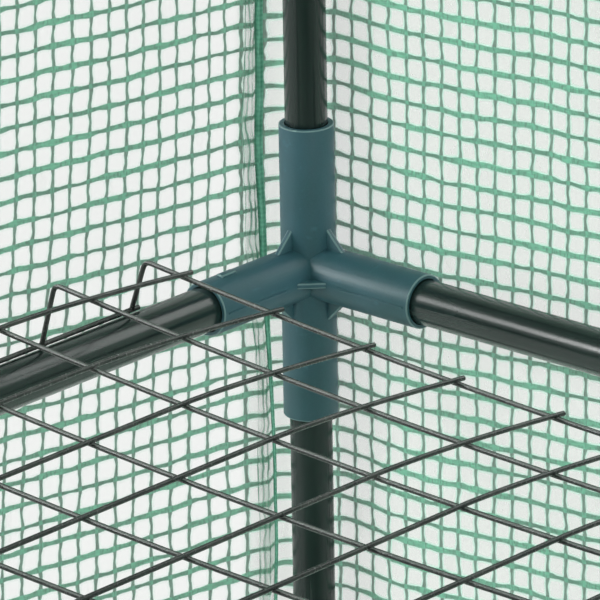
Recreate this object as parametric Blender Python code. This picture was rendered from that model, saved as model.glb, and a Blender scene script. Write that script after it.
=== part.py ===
"""Small two-tier garden greenhouse: a push-fit tube frame, two wire shelves and a fitted cover.

The frame stands on four capped legs. Every joint of its tubes is a moulded connector, whose
sockets each take a tube end. The cover hangs over it, and its front panel is a door
that zips down both sides and lifts from its top edge.
Metres, +Z up, the front faces -Y, and the origin is under the middle of the whole greenhouse.
"""

import math

import bmesh
import bpy
from mathutils import Matrix, Vector

# Driving dimensions of the frame
FRAME_WIDTH = 0.610
FRAME_DEPTH = 0.470
LOWER_TIER_HEIGHT = 0.100
UPPER_TIER_HEIGHT = 0.450
EAVES_HEIGHT = 0.800
RIDGE_RISE = 0.130
POST_DIAMETER = 0.015
RAIL_DIAMETER = 0.016
TUBE_WALL = 0.0008
FIT_GAP = 0.0003

# Moulded connectors and feet
SOCKET_DIAMETER = 0.0194
HUB_DIAMETER = 0.0206
SOCKET_REACH = 0.054
SOCKET_STOP = 0.014
WEB_REACH = 0.007
WEB_THICKNESS = 0.002
FOOT_DIAMETER = 0.021
FOOT_HEIGHT = 0.022
FOOT_BASE = 0.004
FOOT_CHAMFER = 0.0015

# Wire shelves
WIRE_DIAMETER = 0.0018
LONG_WIRE_COUNT = 8
LONG_WIRE_PITCH = 0.0446
SHELF_SETBACK = 0.0875
CROSS_WIRE_COUNT = 15
CROSS_WIRE_STUB = 0.0035
CROSS_WIRE_INSET = 0.019
DECK_HEIGHT = 0.028
DECK_SAG = 0.0155
DECK_CROWN = 0.0062
CROWN_ROWS = 2
LEG_WIRE_OUT = 0.003
LEG_SPREAD = 0.007
WELD_SINK = 0.0005

# Cover
SIDE_SLACK = 0.031
SHEET_THICKNESS = 0.0012
CORNER_RADIUS = 0.012
HEM_HEIGHT = 0.012
BILLOW = 0.008
DOOR_BILLOW = 0.003
STRIP_WIDTH = 0.045

# Zips
TAPE_WIDTH = 0.013
TAPE_THICKNESS = 0.0010
SLIDER_WIDTH = 0.009
SLIDER_HEIGHT = 0.013
SLIDER_THICKNESS = 0.0030
SLIDER_EDGE = 0.0010
SLIDER_START = 0.020
EAR_THICKNESS = 0.0015
PIN_DIAMETER = 0.0014
PIN_STANDOFF = 0.0022
PULL_LENGTH = 0.024
PULL_EYE_WIDTH = 0.0045
PULL_THICKNESS = 0.0016
PULL_EYE_DIAMETER = 0.0040

# Facets
ROUND_SIDES = 16
TUBE_SIDES = 12
PIN_SIDES = 10
WIRE_BEVEL_RESOLUTION = 0
SAG_STEPS = 6
CORNER_STEPS = 3
WALL_BAYS = 6
WALL_ROWS = 6
DOOR_COLUMNS = 8
DOOR_ROWS = 6
SMOOTH_ANGLE = math.radians(40)
WIRE_MERGE = 0.00001

# Sizes that follow from the ones above
TIER_HEIGHTS = (LOWER_TIER_HEIGHT, UPPER_TIER_HEIGHT)
HALF_WIDTH = FRAME_WIDTH / 2
HALF_DEPTH = FRAME_DEPTH / 2
SOCKET_RADIUS = SOCKET_DIAMETER / 2
HUB_RADIUS = HUB_DIAMETER / 2
WALL_X = HALF_WIDTH + SIDE_SLACK
WALL_Y = HALF_DEPTH + HUB_RADIUS + FIT_GAP
ROOF_SLOPE = math.atan2(RIDGE_RISE, HALF_DEPTH)
ROOF_LIFT = (HUB_RADIUS + FIT_GAP) / math.cos(ROOF_SLOPE)
SLIDER_FACE = WALL_Y + SHEET_THICKNESS + FIT_GAP + TAPE_THICKNESS + FIT_GAP
PIN_REACH = SLIDER_FACE + SLIDER_THICKNESS + PIN_STANDOFF
FRONT_REACH = PIN_REACH + PULL_EYE_DIAMETER / 2
BACK_REACH = WALL_Y + SHEET_THICKNESS + BILLOW
CENTRE_SHIFT = (FRONT_REACH - BACK_REACH) / 2
ZIP_X = WALL_X - STRIP_WIDTH


def clear_scene():
    """Remove every object of the open scene."""
    for old in list(bpy.data.objects):
        bpy.data.objects.remove(old, do_unlink=True)


def make_material(name, colour, roughness, metallic=0.0):
    """Give a Principled material of one colour."""
    material = bpy.data.materials.new(name)
    material.use_nodes = True
    shader = material.node_tree.nodes["Principled BSDF"]
    shader.inputs["Base Color"].default_value = (*colour, 1.0)
    shader.inputs["Roughness"].default_value = roughness
    shader.inputs["Metallic"].default_value = metallic
    return material


def add_object(name, mesh, material, location=(0, 0, 0), rotation=None, parent=None):
    """Put a mesh in the scene under its sub-part's name.

    Args:
        name: name of the sub-part.
        mesh: its mesh, which other copies may share.
        material: finish of this object.
        location: place in the frame's axes, before the parent's own place.
        rotation: quaternion, or None for unturned.
        parent: object that carries it, the frame's root where this is None.
    """
    made = bpy.data.objects.new(name, mesh)
    bpy.context.scene.collection.objects.link(made)
    made.parent = parent or root
    made.location = location
    if rotation is not None:
        made.rotation_mode = "QUATERNION"
        made.rotation_quaternion = rotation
    if not mesh.materials:
        mesh.materials.append(None)
    made.material_slots[0].link = "OBJECT"
    made.material_slots[0].material = material
    return made


def add_empty(name, location, parent=None):
    """Put an empty on a joint's axis, to carry the piece that moves about it."""
    made = bpy.data.objects.new(name, None)
    bpy.context.scene.collection.objects.link(made)
    made.parent = parent or root
    made.location = location
    return made


def finish_mesh(shape, name):
    """Turn a bmesh into a mesh with its faces pointing out."""
    bmesh.ops.recalc_face_normals(shape, faces=shape.faces)
    mesh = bpy.data.meshes.new(name)
    shape.to_mesh(mesh)
    shape.free()
    mesh.shade_smooth()
    mesh.set_sharp_from_angle(angle=SMOOTH_ANGLE)
    return mesh


def rod_mesh(start, end, radius, sides=ROUND_SIDES, end_radius=None):
    """Give a closed round bar between two points."""
    start = Vector(start)
    end = Vector(end)
    run = end - start
    turn = run.to_track_quat("Z", "Y").to_matrix().to_4x4()
    shape = bmesh.new()
    bmesh.ops.create_cone(
        shape,
        cap_ends=True,
        segments=sides,
        radius1=radius,
        radius2=radius if end_radius is None else end_radius,
        depth=run.length,
        matrix=Matrix.Translation((start + end) / 2) @ turn,
    )
    return finish_mesh(shape, "rod")


def block_mesh(low, high):
    """Give a box between its lowest and its highest corner."""
    low = Vector(low)
    high = Vector(high)
    shape = bmesh.new()
    size = Matrix.Diagonal((*(high - low), 1.0))
    bmesh.ops.create_cube(shape, size=1.0, matrix=Matrix.Translation((low + high) / 2) @ size)
    return finish_mesh(shape, "block")


def plate_mesh(corners, thickness):
    """Give a flat plate of this outline, half its thickness to either side of it."""
    shape = bmesh.new()
    face = shape.faces.new([shape.verts.new(corner) for corner in corners])
    face.normal_update()
    rise = face.normal * thickness
    bmesh.ops.translate(shape, verts=shape.verts, vec=-rise / 2)
    grown = bmesh.ops.extrude_face_region(shape, geom=[face], use_keep_orig=True)
    moved = [item for item in grown["geom"] if isinstance(item, bmesh.types.BMVert)]
    bmesh.ops.translate(shape, verts=moved, vec=rise)
    return finish_mesh(shape, "plate")


def combine(base, additions=(), cuts=(), solver="EXACT"):
    """Unite shapes with a base shape, then cut others from the result.

    Args:
        base: mesh that the work starts from.
        additions: meshes united with it, in order.
        cuts: meshes cut from the united body, in order.
        solver: the Boolean's own solver.

    Returns:
        The finished mesh.
    """
    body = bpy.data.objects.new("body", base)
    helpers = [body]
    bpy.context.scene.collection.objects.link(body)
    steps = [("UNION", mesh) for mesh in additions] + [("DIFFERENCE", mesh) for mesh in cuts]
    for operation, mesh in steps:
        helper = bpy.data.objects.new("helper", mesh)
        bpy.context.scene.collection.objects.link(helper)
        helpers.append(helper)
        step = body.modifiers.new(operation.title(), "BOOLEAN")
        step.operation = operation
        step.solver = solver
        step.object = helper
    graph = bpy.context.evaluated_depsgraph_get()
    result = bpy.data.meshes.new_from_object(body.evaluated_get(graph))
    for helper in helpers:
        bpy.data.objects.remove(helper, do_unlink=True)
    result.shade_smooth()
    result.set_sharp_from_angle(angle=SMOOTH_ANGLE)
    return result


def tube_mesh(diameter, length):
    """Give an open-ended tube that starts at the origin and runs up Z."""
    outer = diameter / 2
    shape = bmesh.new()
    for radius in (outer, outer - TUBE_WALL):
        bmesh.ops.create_circle(shape, segments=TUBE_SIDES, radius=radius)
    ring = bmesh.ops.bridge_loops(shape, edges=shape.edges)["faces"]
    grown = bmesh.ops.extrude_face_region(shape, geom=ring, use_keep_orig=True)
    moved = [item for item in grown["geom"] if isinstance(item, bmesh.types.BMVert)]
    bmesh.ops.translate(shape, verts=moved, vec=(0, 0, length))
    return finish_mesh(shape, "tube")


def add_tube(name, start, end, diameter, start_inset=None, end_inset=None):
    """Lay a steel tube between two joint centres, each end in its socket.

    Args:
        name: name of the tube.
        start: joint centre at the first end.
        end: joint centre at the last end.
        diameter: outer diameter.
        start_inset: distance from the start to the tube's end, the socket's stop where None.
        end_inset: the same at the last end.
    """
    start = Vector(start)
    run = Vector(end) - start
    way = run.normalized()
    seat = SOCKET_STOP + FIT_GAP
    first = seat if start_inset is None else start_inset
    last = seat if end_inset is None else end_inset
    mesh = tube_mesh(diameter, run.length - first - last)
    turn = way.to_track_quat("Z", "Y")
    return add_object(name, mesh, steel, location=start + way * first, rotation=turn)


def connector_mesh(arms, webs):
    """Give a moulded connector with one socket for each arm.

    Args:
        arms: a direction and the diameter of the tube that it takes, for each socket.
        webs: outlines of the stiffening plates, each a list of directions in order.
    """
    centre = Vector((0, 0, 0))
    sockets = [rod_mesh(centre, way * SOCKET_REACH, SOCKET_RADIUS) for way, _ in arms]
    web_reach = SOCKET_DIAMETER + WEB_REACH
    plates = [plate_mesh([way * web_reach for way in web], WEB_THICKNESS) for web in webs]
    bores = []
    for way, tube in arms:
        mouth = way * (SOCKET_REACH + WEB_REACH)
        bores.append(rod_mesh(way * SOCKET_STOP, mouth, tube / 2 + FIT_GAP))
    hub = bmesh.new()
    bmesh.ops.create_icosphere(hub, subdivisions=2, radius=HUB_RADIUS)
    return combine(finish_mesh(hub, "hub"), sockets + plates, bores, solver="MANIFOLD")


def corners():
    """Yield the name, the place and the inward directions of each corner of the frame."""
    for depth_name, depth_side in (("back", 1), ("front", -1)):
        for width_name, width_side in (("left", -1), ("right", 1)):
            place = Vector((width_side * HALF_WIDTH, depth_side * HALF_DEPTH, 0))
            inward_x = Vector((-width_side, 0, 0))
            inward_y = Vector((0, -depth_side, 0))
            yield f"{depth_name}_{width_name}", place, inward_x, inward_y


def build_tier_connectors():
    """Put a four-way connector at each corner of both tiers."""
    up = Vector((0, 0, 1))
    for name, place, inward_x, inward_y in corners():
        arms = [
            (up, POST_DIAMETER),
            (-up, POST_DIAMETER),
            (inward_x, RAIL_DIAMETER),
            (inward_y, RAIL_DIAMETER),
        ]
        centre = Vector((0, 0, 0))
        webs = [
            (up, inward_x, -up),
            (up, inward_y, -up),
            (centre, inward_x, inward_y),
        ]
        mesh = connector_mesh(arms, webs)
        for number, height in enumerate(TIER_HEIGHTS, start=1):
            add_object(f"tier{number}_connector_{name}", mesh, moulding, place + up * height)


def rafter_way(inward_y):
    """Give the direction of a rafter that climbs from the eaves towards the ridge."""
    return (inward_y * HALF_DEPTH + Vector((0, 0, RIDGE_RISE))).normalized()


def build_roof_connectors():
    """Put the three-way connectors at the eaves and at both ends of the ridge."""
    up = Vector((0, 0, 1))
    centre = Vector((0, 0, 0))
    for name, place, inward_x, inward_y in corners():
        climb = rafter_way(inward_y)
        arms = [(-up, POST_DIAMETER), (inward_x, RAIL_DIAMETER), (climb, POST_DIAMETER)]
        webs = [(centre, -up, inward_x), (centre, inward_x, climb), (centre, -up, climb)]
        mesh = connector_mesh(arms, webs)
        add_object(f"eaves_connector_{name}", mesh, moulding, place + up * EAVES_HEIGHT)
    for name, side in (("left", -1), ("right", 1)):
        inward_x = Vector((-side, 0, 0))
        falls = [-rafter_way(Vector((0, way, 0))) for way in (1, -1)]
        arms = [(inward_x, RAIL_DIAMETER), (falls[0], POST_DIAMETER), (falls[1], POST_DIAMETER)]
        webs = [(centre, inward_x, falls[0]), (centre, inward_x, falls[1])]
        place = Vector((side * HALF_WIDTH, 0, EAVES_HEIGHT + RIDGE_RISE))
        add_object(f"ridge_connector_{name}", connector_mesh(arms, webs), moulding, place)


def build_uprights():
    """Stand the legs, the middle posts and the upper posts, and cap the legs."""
    up = Vector((0, 0, 1))
    foot = build_foot_mesh()
    for name, place, _, _ in corners():
        levels = [0.0, *TIER_HEIGHTS, EAVES_HEIGHT]
        for number, (low, high) in enumerate(zip(levels, levels[1:])):
            label = ("leg", "middle_post", "upper_post")[number]
            inset = FOOT_BASE + FIT_GAP if number == 0 else None
            start = place + up * low
            add_tube(f"{label}_{name}", start, place + up * high, POST_DIAMETER, start_inset=inset)
        add_object(f"foot_{name}", foot, moulding, place)


def build_foot_mesh():
    """Give the push-on cap of a leg, with its flat underside on the ground."""
    body = rod_mesh((0, 0, FOOT_CHAMFER), (0, 0, FOOT_HEIGHT), FOOT_DIAMETER / 2)
    toe = FOOT_DIAMETER / 2 - FOOT_CHAMFER
    sole = rod_mesh((0, 0, 0), (0, 0, FOOT_CHAMFER), toe, end_radius=FOOT_DIAMETER / 2)
    bore_top = FOOT_HEIGHT + FOOT_BASE
    bore = rod_mesh((0, 0, FOOT_BASE), (0, 0, bore_top), POST_DIAMETER / 2 + FIT_GAP)
    return combine(body, [sole], [bore])


def build_rails():
    """Lay the four rails of each tier, the eaves rails, the rafters and the ridge tube."""
    up = Vector((0, 0, 1))
    for number, height in enumerate(TIER_HEIGHTS, start=1):
        for name, side in (("left", -1), ("right", 1)):
            middle = Vector((side * HALF_WIDTH, 0, height))
            reach = Vector((0, HALF_DEPTH, 0))
            add_tube(f"tier{number}_rail_{name}", middle - reach, middle + reach, RAIL_DIAMETER)
        for name, side in (("front", -1), ("back", 1)):
            middle = Vector((0, side * HALF_DEPTH, height))
            reach = Vector((HALF_WIDTH, 0, 0))
            add_tube(f"tier{number}_rail_{name}", middle - reach, middle + reach, RAIL_DIAMETER)
    reach = Vector((HALF_WIDTH, 0, 0))
    for name, side in (("front", -1), ("back", 1)):
        middle = Vector((0, side * HALF_DEPTH, EAVES_HEIGHT))
        add_tube(f"eaves_rail_{name}", middle - reach, middle + reach, RAIL_DIAMETER)
    ridge = up * (EAVES_HEIGHT + RIDGE_RISE)
    add_tube("ridge_tube", ridge - reach, ridge + reach, RAIL_DIAMETER)
    for name, place, _, _ in corners():
        top = Vector((place.x, 0, EAVES_HEIGHT + RIDGE_RISE))
        add_tube(f"rafter_{name}", place + up * EAVES_HEIGHT, top, POST_DIAMETER)


def wire_mesh(runs):
    """Give straight or bent wires as closed bars, one for each list of points."""
    curve = bpy.data.curves.new("wires", "CURVE")
    curve.dimensions = "3D"
    curve.bevel_depth = WIRE_DIAMETER / 2
    curve.bevel_resolution = WIRE_BEVEL_RESOLUTION
    curve.use_fill_caps = True
    for points in runs:
        spline = curve.splines.new("POLY")
        spline.points.add(len(points) - 1)
        for slot, point in zip(spline.points, points):
            slot.co = (*point, 1.0)
    holder = bpy.data.objects.new("wires", curve)
    bpy.context.scene.collection.objects.link(holder)
    graph = bpy.context.evaluated_depsgraph_get()
    mesh = bpy.data.meshes.new_from_object(holder.evaluated_get(graph))
    bpy.data.objects.remove(holder, do_unlink=True)
    shape = bmesh.new()
    shape.from_mesh(mesh)
    bmesh.ops.remove_doubles(shape, verts=shape.verts, dist=WIRE_MERGE)
    return finish_mesh(shape, "wires")


def deck_sag(x, knots):
    """Give how far the deck hangs below its ends, along straight runs between knots."""
    reach = knots[-1]
    low = max(knot for knot in knots[:-1] if knot <= max(x, knots[0]))
    high = knots[knots.index(low) + 1]
    falls = [DECK_SAG * (1 - (knot / reach) ** 2) for knot in (low, high)]
    return falls[0] + (falls[1] - falls[0]) * (x - low) / (high - low)


def deck_crown(row):
    """Give how far a long wire stands above the outermost ones."""
    return DECK_CROWN * min(1.0, row / CROWN_ROWS, (LONG_WIRE_COUNT - 1 - row) / CROWN_ROWS)


def build_shelf_mesh():
    """Give a welded wire shelf, with its legs bent down to the side rails.

    The long wires run from side to side, sag in the middle and turn down at both ends into
    short legs. A cross wire joins the legs' feet and rests on the rail. The other cross
    wires lie on the long ones, fall towards both edges and end in short stubs.
    """
    foot_x = HALF_WIDTH + LEG_WIRE_OUT
    knee_x = foot_x - LEG_SPREAD
    seat = (RAIL_DIAMETER + WIRE_DIAMETER) / 2 + FIT_GAP
    foot_z = math.sqrt(seat**2 - LEG_WIRE_OUT**2)
    back_y = HALF_DEPTH - SHELF_SETBACK
    rows = [back_y - index * LONG_WIRE_PITCH for index in range(LONG_WIRE_COUNT)]
    knots = [knee_x * (2 * index / SAG_STEPS - 1) for index in range(SAG_STEPS + 1)]
    stack = WIRE_DIAMETER - WELD_SINK
    long_runs = []
    for row, y in enumerate(rows):
        level = DECK_HEIGHT + deck_crown(row)
        deck = [(x, y, level - deck_sag(x, knots)) for x in knots]
        long_runs.append([(-foot_x, y, foot_z), *deck, (foot_x, y, foot_z)])
    first_x = knee_x - CROSS_WIRE_INSET
    pitch = 2 * first_x / (CROSS_WIRE_COUNT - 1)
    fall = DECK_CROWN * CROSS_WIRE_STUB / (CROWN_ROWS * LONG_WIRE_PITCH)
    bends = (CROWN_ROWS, LONG_WIRE_COUNT - 1 - CROWN_ROWS)
    cross_runs = []
    for index in range(CROSS_WIRE_COUNT):
        x = -first_x + index * pitch
        level = DECK_HEIGHT - deck_sag(x, knots) + stack
        middle = [(x, rows[row], level + DECK_CROWN) for row in bends]
        back_end = (x, rows[0] + CROSS_WIRE_STUB, level - fall)
        front_end = (x, rows[-1] - CROSS_WIRE_STUB, level - fall)
        cross_runs.append([back_end, *middle, front_end])
    for side in (-1, 1):
        reach = (rows[0] + CROSS_WIRE_STUB, rows[-1] - CROSS_WIRE_STUB)
        cross_runs.append([(side * foot_x, y, foot_z) for y in reach])
    return combine(wire_mesh(long_runs), [wire_mesh(cross_runs)])


def build_shelves():
    """Lay a wire shelf on the side rails of each tier."""
    mesh = build_shelf_mesh()
    for number, height in enumerate(TIER_HEIGHTS, start=1):
        add_object(f"shelf_{number}", mesh, wire, location=(0, 0, height))


def roof_underside(y):
    """Give the height of the roof sheet's lower face over a point of the frame."""
    return EAVES_HEIGHT + RIDGE_RISE + ROOF_LIFT - abs(y) * math.tan(ROOF_SLOPE)


def wall_top(y):
    """Give the height where a wall ends, with both its faces just under the roof sheet."""
    return roof_underside(y) - FIT_GAP / math.cos(ROOF_SLOPE) - SHEET_THICKNESS * math.tan(ROOF_SLOPE)


def sheet_mesh(columns, rows, place):
    """Give a thin hanging sheet as a closed solid.

    Args:
        columns: number of strips across it.
        rows: number of strips down it.
        place: function of the shares across and up that gives the sheet's inner face.
    """
    shape = bmesh.new()
    bmesh.ops.create_grid(shape, x_segments=columns, y_segments=rows, size=0.5)
    for point in shape.verts:
        point.co = place(point.co.x + 0.5, point.co.y + 0.5)
    mesh = bpy.data.meshes.new("sheet")
    shape.to_mesh(mesh)
    shape.free()
    mesh.shade_smooth()
    mesh.set_sharp_from_angle(angle=SMOOTH_ANGLE)
    return mesh


def add_sheet(name, columns, rows, place, parent=None):
    """Hang a sheet of the cover, thickened away from the frame."""
    made = add_object(name, sheet_mesh(columns, rows, place), film, parent=parent)
    wall = made.modifiers.new("Thickness", "SOLIDIFY")
    wall.thickness = SHEET_THICKNESS
    wall.offset = 1.0
    wall.use_even_offset = True
    return made


def wall_line(length, corner_gap):
    """Give the plan of one wall from seam to seam, as points along it.

    The wall runs along +X at y = 0 with its outside towards +Y, centred on x = 0,
    and both its ends turn in through half of a rounded corner.

    Args:
        length: distance between the two walls that it joins.
        corner_gap: part of each seam left open, as an angle.
    """
    straight = length / 2 - CORNER_RADIUS
    points = []
    turn = math.pi / 4 - corner_gap
    for index in range(CORNER_STEPS + 1):
        angle = math.pi / 2 + turn * (1 - index / CORNER_STEPS)
        arc = Vector((math.cos(angle), math.sin(angle) - 1)) * CORNER_RADIUS
        points.append(arc + Vector((-straight, 0)))
    for index in range(1, WALL_BAYS):
        points.append(Vector((straight * (2 * index / WALL_BAYS - 1), 0)))
    points += [Vector((-point.x, point.y)) for point in reversed(points[: CORNER_STEPS + 1])]
    return points


def billow_at(share, height_share, depth):
    """Give how far a loose sheet stands out at a point between its held edges."""
    return depth * math.sin(math.pi * share) ** 2 * math.sin(math.pi * height_share)


def build_walls():
    """Hang the back wall and both side walls, whose tops follow the roof."""
    seam = FIT_GAP / CORNER_RADIUS
    sides = (
        ("cover_back", 2 * WALL_X, WALL_Y, 0.0),
        ("cover_left", 2 * WALL_Y, WALL_X, math.pi / 2),
        ("cover_right", 2 * WALL_Y, WALL_X, -math.pi / 2),
    )
    for name, length, reach, heading in sides:
        line = wall_line(length, seam)
        last = len(line) - 1
        turn = Matrix.Rotation(heading, 3, "Z")

        def place(across, up, line=line, last=last, turn=turn, reach=reach, length=length):
            plan = line[last - round(across * last)]
            share = min(1.0, max(0.0, plan.x / length + 0.5))
            out = billow_at(share, up, BILLOW)
            spot = turn @ Vector((plan.x, reach + plan.y + out, 0))
            held = turn @ Vector((plan.x, reach + plan.y, 0))
            spot.z = HEM_HEIGHT + up * (wall_top(held.y) - HEM_HEIGHT)
            return spot

        add_sheet(name, last, WALL_ROWS, place)


def build_roof():
    """Fold the roof sheet over the ridge, down to the eaves on both sides."""
    eaves_y = WALL_Y + SHEET_THICKNESS
    stops = (-eaves_y, -eaves_y / 2, 0.0, eaves_y / 2, eaves_y)
    half_width = WALL_X + SHEET_THICKNESS

    def place(across, up):
        y = stops[round(up * (len(stops) - 1))]
        return Vector(((across * 2 - 1) * half_width, y, roof_underside(y)))

    add_sheet("cover_roof", 1, len(stops) - 1, place)


def build_front():
    """Hang the two front strips, and the door between them from its top edge."""
    seam = FIT_GAP / CORNER_RADIUS
    top = wall_top(WALL_Y)
    for name, side in (("left", -1), ("right", 1)):
        line = [point for point in wall_line(2 * WALL_X, seam) if point.x <= -WALL_X + CORNER_RADIUS]
        line.append(Vector((-ZIP_X - FIT_GAP, 0)))
        last = len(line) - 1

        def place(across, up, line=line, last=last, side=side):
            index = round((across if side < 0 else 1 - across) * last)
            plan = line[index]
            y = -WALL_Y - plan.y
            return Vector((-side * plan.x, y, HEM_HEIGHT + up * (wall_top(y) - HEM_HEIGHT)))

        add_sheet(f"cover_front_{name}", last, 1, place)
    hinge = add_empty("door_hinge", (0, -WALL_Y - SHEET_THICKNESS, top))
    width = 2 * (ZIP_X - FIT_GAP)

    def place_door(across, up):
        y = SHEET_THICKNESS - billow_at(across, up, DOOR_BILLOW)
        return Vector(((across - 0.5) * width, y, (up - 1) * (top - HEM_HEIGHT)))

    add_sheet("door_panel", DOOR_COLUMNS, DOOR_ROWS, place_door, parent=hinge)


def build_zips():
    """Sew on the zip tapes, and put a slider with its pull on each."""
    tape_back = -WALL_Y - SHEET_THICKNESS - FIT_GAP
    top = wall_top(WALL_Y + SHEET_THICKNESS) - FIT_GAP
    slider_back = tape_back - TAPE_THICKNESS - FIT_GAP
    for name, side in (("left", -1), ("right", 1)):
        edges = sorted((side * ZIP_X, side * (ZIP_X + TAPE_WIDTH)))
        low = (edges[0], tape_back - TAPE_THICKNESS, HEM_HEIGHT)
        high = (edges[1], tape_back, top)
        add_object(f"zip_tape_{name}", block_mesh(low, high), webbing)
        middle_x = side * (ZIP_X + SLIDER_EDGE + SLIDER_WIDTH / 2)
        carrier = add_empty(f"zip_travel_{name}", (middle_x, slider_back, HEM_HEIGHT + SLIDER_START))
        add_object(f"zip_slider_{name}", build_slider_mesh(), zinc, parent=carrier)
        pin = add_empty(f"pull_hinge_{name}", (0, pin_place().y, pin_place().z), parent=carrier)
        add_object(f"zip_pull_{name}", build_pull_mesh(), zinc, parent=pin)


def pin_place():
    """Give the middle of the pull's pin, seen from the middle of the slider's back edge."""
    return Vector((0, -SLIDER_THICKNESS - PIN_STANDOFF, SLIDER_HEIGHT - PULL_EYE_DIAMETER / 2))


def build_slider_mesh():
    """Give a slider: a waisted body, with two ears that hold the pull's pin."""
    half = SLIDER_WIDTH / 2
    waist = half - EAR_THICKNESS
    outline = [
        (-half, 0, SLIDER_HEIGHT),
        (-half, 0, SLIDER_HEIGHT / 2),
        (-waist, 0, 0),
        (waist, 0, 0),
        (half, 0, SLIDER_HEIGHT / 2),
        (half, 0, SLIDER_HEIGHT),
    ]
    body = plate_mesh([Vector(point) for point in outline], SLIDER_THICKNESS)
    body.transform(Matrix.Translation((0, -SLIDER_THICKNESS / 2, 0)))
    pin = pin_place()
    ears = []
    for side in (-1, 1):
        edges = sorted((side * half, side * (half - EAR_THICKNESS)))
        reach = PULL_EYE_DIAMETER / 2
        low = (edges[0], pin.y - reach, pin.z - reach)
        high = (edges[1], -SLIDER_THICKNESS / 2, pin.z + reach)
        ears.append(block_mesh(low, high))
    bar_end = half - EAR_THICKNESS / 2
    bar = rod_mesh((-bar_end, pin.y, pin.z), (bar_end, pin.y, pin.z), PIN_DIAMETER / 2, PIN_SIDES)
    return combine(body, [*ears, bar])


def build_pull_mesh():
    """Give the tab that hangs from the slider's pin, with an eye round the pin."""
    half_eye = PULL_EYE_WIDTH / 2
    half_tab = SLIDER_WIDTH / 2 - EAR_THICKNESS - FIT_GAP
    eye = PULL_EYE_DIAMETER / 2
    barrel = rod_mesh((-half_eye, 0, 0), (half_eye, 0, 0), eye, PIN_SIDES)
    half_thick = PULL_THICKNESS / 2
    tab = block_mesh((-half_tab, -half_thick, -PULL_LENGTH), (half_tab, half_thick, -eye / 2))
    bore = rod_mesh((-half_tab, 0, 0), (half_tab, 0, 0), PIN_DIAMETER / 2 + FIT_GAP, PIN_SIDES)
    return combine(barrel, [tab], [bore])


clear_scene()
root = None
root = add_empty("greenhouse", (0, CENTRE_SHIFT, 0))
moulding = make_material("moulded green plastic", (0.045, 0.135, 0.125), 0.45)
steel = make_material("green painted steel", (0.012, 0.028, 0.024), 0.25)
wire = make_material("coated wire", (0.012, 0.016, 0.015), 0.40)
film = make_material("reinforced film", (0.55, 0.75, 0.66), 0.35)
webbing = make_material("zip webbing", (0.03, 0.16, 0.10), 0.80)
zinc = make_material("plated zinc", (0.55, 0.56, 0.55), 0.30, 1.0)
build_uprights()
build_tier_connectors()
build_roof_connectors()
build_rails()
build_shelves()
build_walls()
build_roof()
build_front()
build_zips()
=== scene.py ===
"""Looks of the small two-tier greenhouse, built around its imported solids.

The frame's tubes, moulded connectors and wire shelves are modelled again with smooth walls,
rims, webs and welds. The cover is a loose film with a woven scrim, sewn at its corners, and
its door carries one half of each zip. The camera stands where it sees the inside of the back
left corner of the upper shelf. Metres, +Z up, the front faces -Y.
"""

import logging
import math
from collections.abc import Callable, Iterable, Iterator, Sequence
from dataclasses import dataclass
from enum import Enum
from typing import Any

import bmesh
import bpy
from mathutils import Matrix, Vector, noise


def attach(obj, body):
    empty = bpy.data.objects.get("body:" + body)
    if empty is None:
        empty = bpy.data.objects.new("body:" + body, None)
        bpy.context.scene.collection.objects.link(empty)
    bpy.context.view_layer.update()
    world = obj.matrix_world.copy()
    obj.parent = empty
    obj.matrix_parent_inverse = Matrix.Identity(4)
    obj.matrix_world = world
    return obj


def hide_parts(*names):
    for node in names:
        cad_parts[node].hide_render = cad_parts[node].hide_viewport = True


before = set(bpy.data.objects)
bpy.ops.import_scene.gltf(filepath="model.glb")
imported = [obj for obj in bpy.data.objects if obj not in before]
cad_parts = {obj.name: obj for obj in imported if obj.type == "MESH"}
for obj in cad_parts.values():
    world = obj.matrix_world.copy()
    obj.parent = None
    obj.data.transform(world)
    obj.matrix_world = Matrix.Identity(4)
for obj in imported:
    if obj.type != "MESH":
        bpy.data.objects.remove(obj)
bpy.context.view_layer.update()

log = logging.getLogger("greenhouse")

UP = Vector((0, 0, 1))
ORIGIN = Vector((0, 0, 0))
WIDTH_SIDES = (("left", -1), ("right", 1))
DEPTH_SIDES = (("front", -1), ("back", 1))
FIT_GAP = 0.0003
WELD_DISTANCE = 0.00001
SMOOTH_ANGLE = math.radians(38)
WIRE_SMOOTH_ANGLE = math.radians(60)
SQUARE_EDGE_ANGLE = 1.0
RIM = "rim"


class Body(Enum):
    """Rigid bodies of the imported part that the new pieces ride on."""

    FRAME = "frame"
    SHELF_1 = "shelf_1"
    SHELF_2 = "shelf_2"
    DOOR = "door"


class Slot(Enum):
    """Material slots of the record, named for the new pieces but not applied to them."""

    STEEL = "frame_steel"
    PLASTIC = "connector_plastic"
    WIRE = "shelf_wire"
    FILM = "cover_film"
    TAPE = "zip_tape"


# Shader tools


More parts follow.
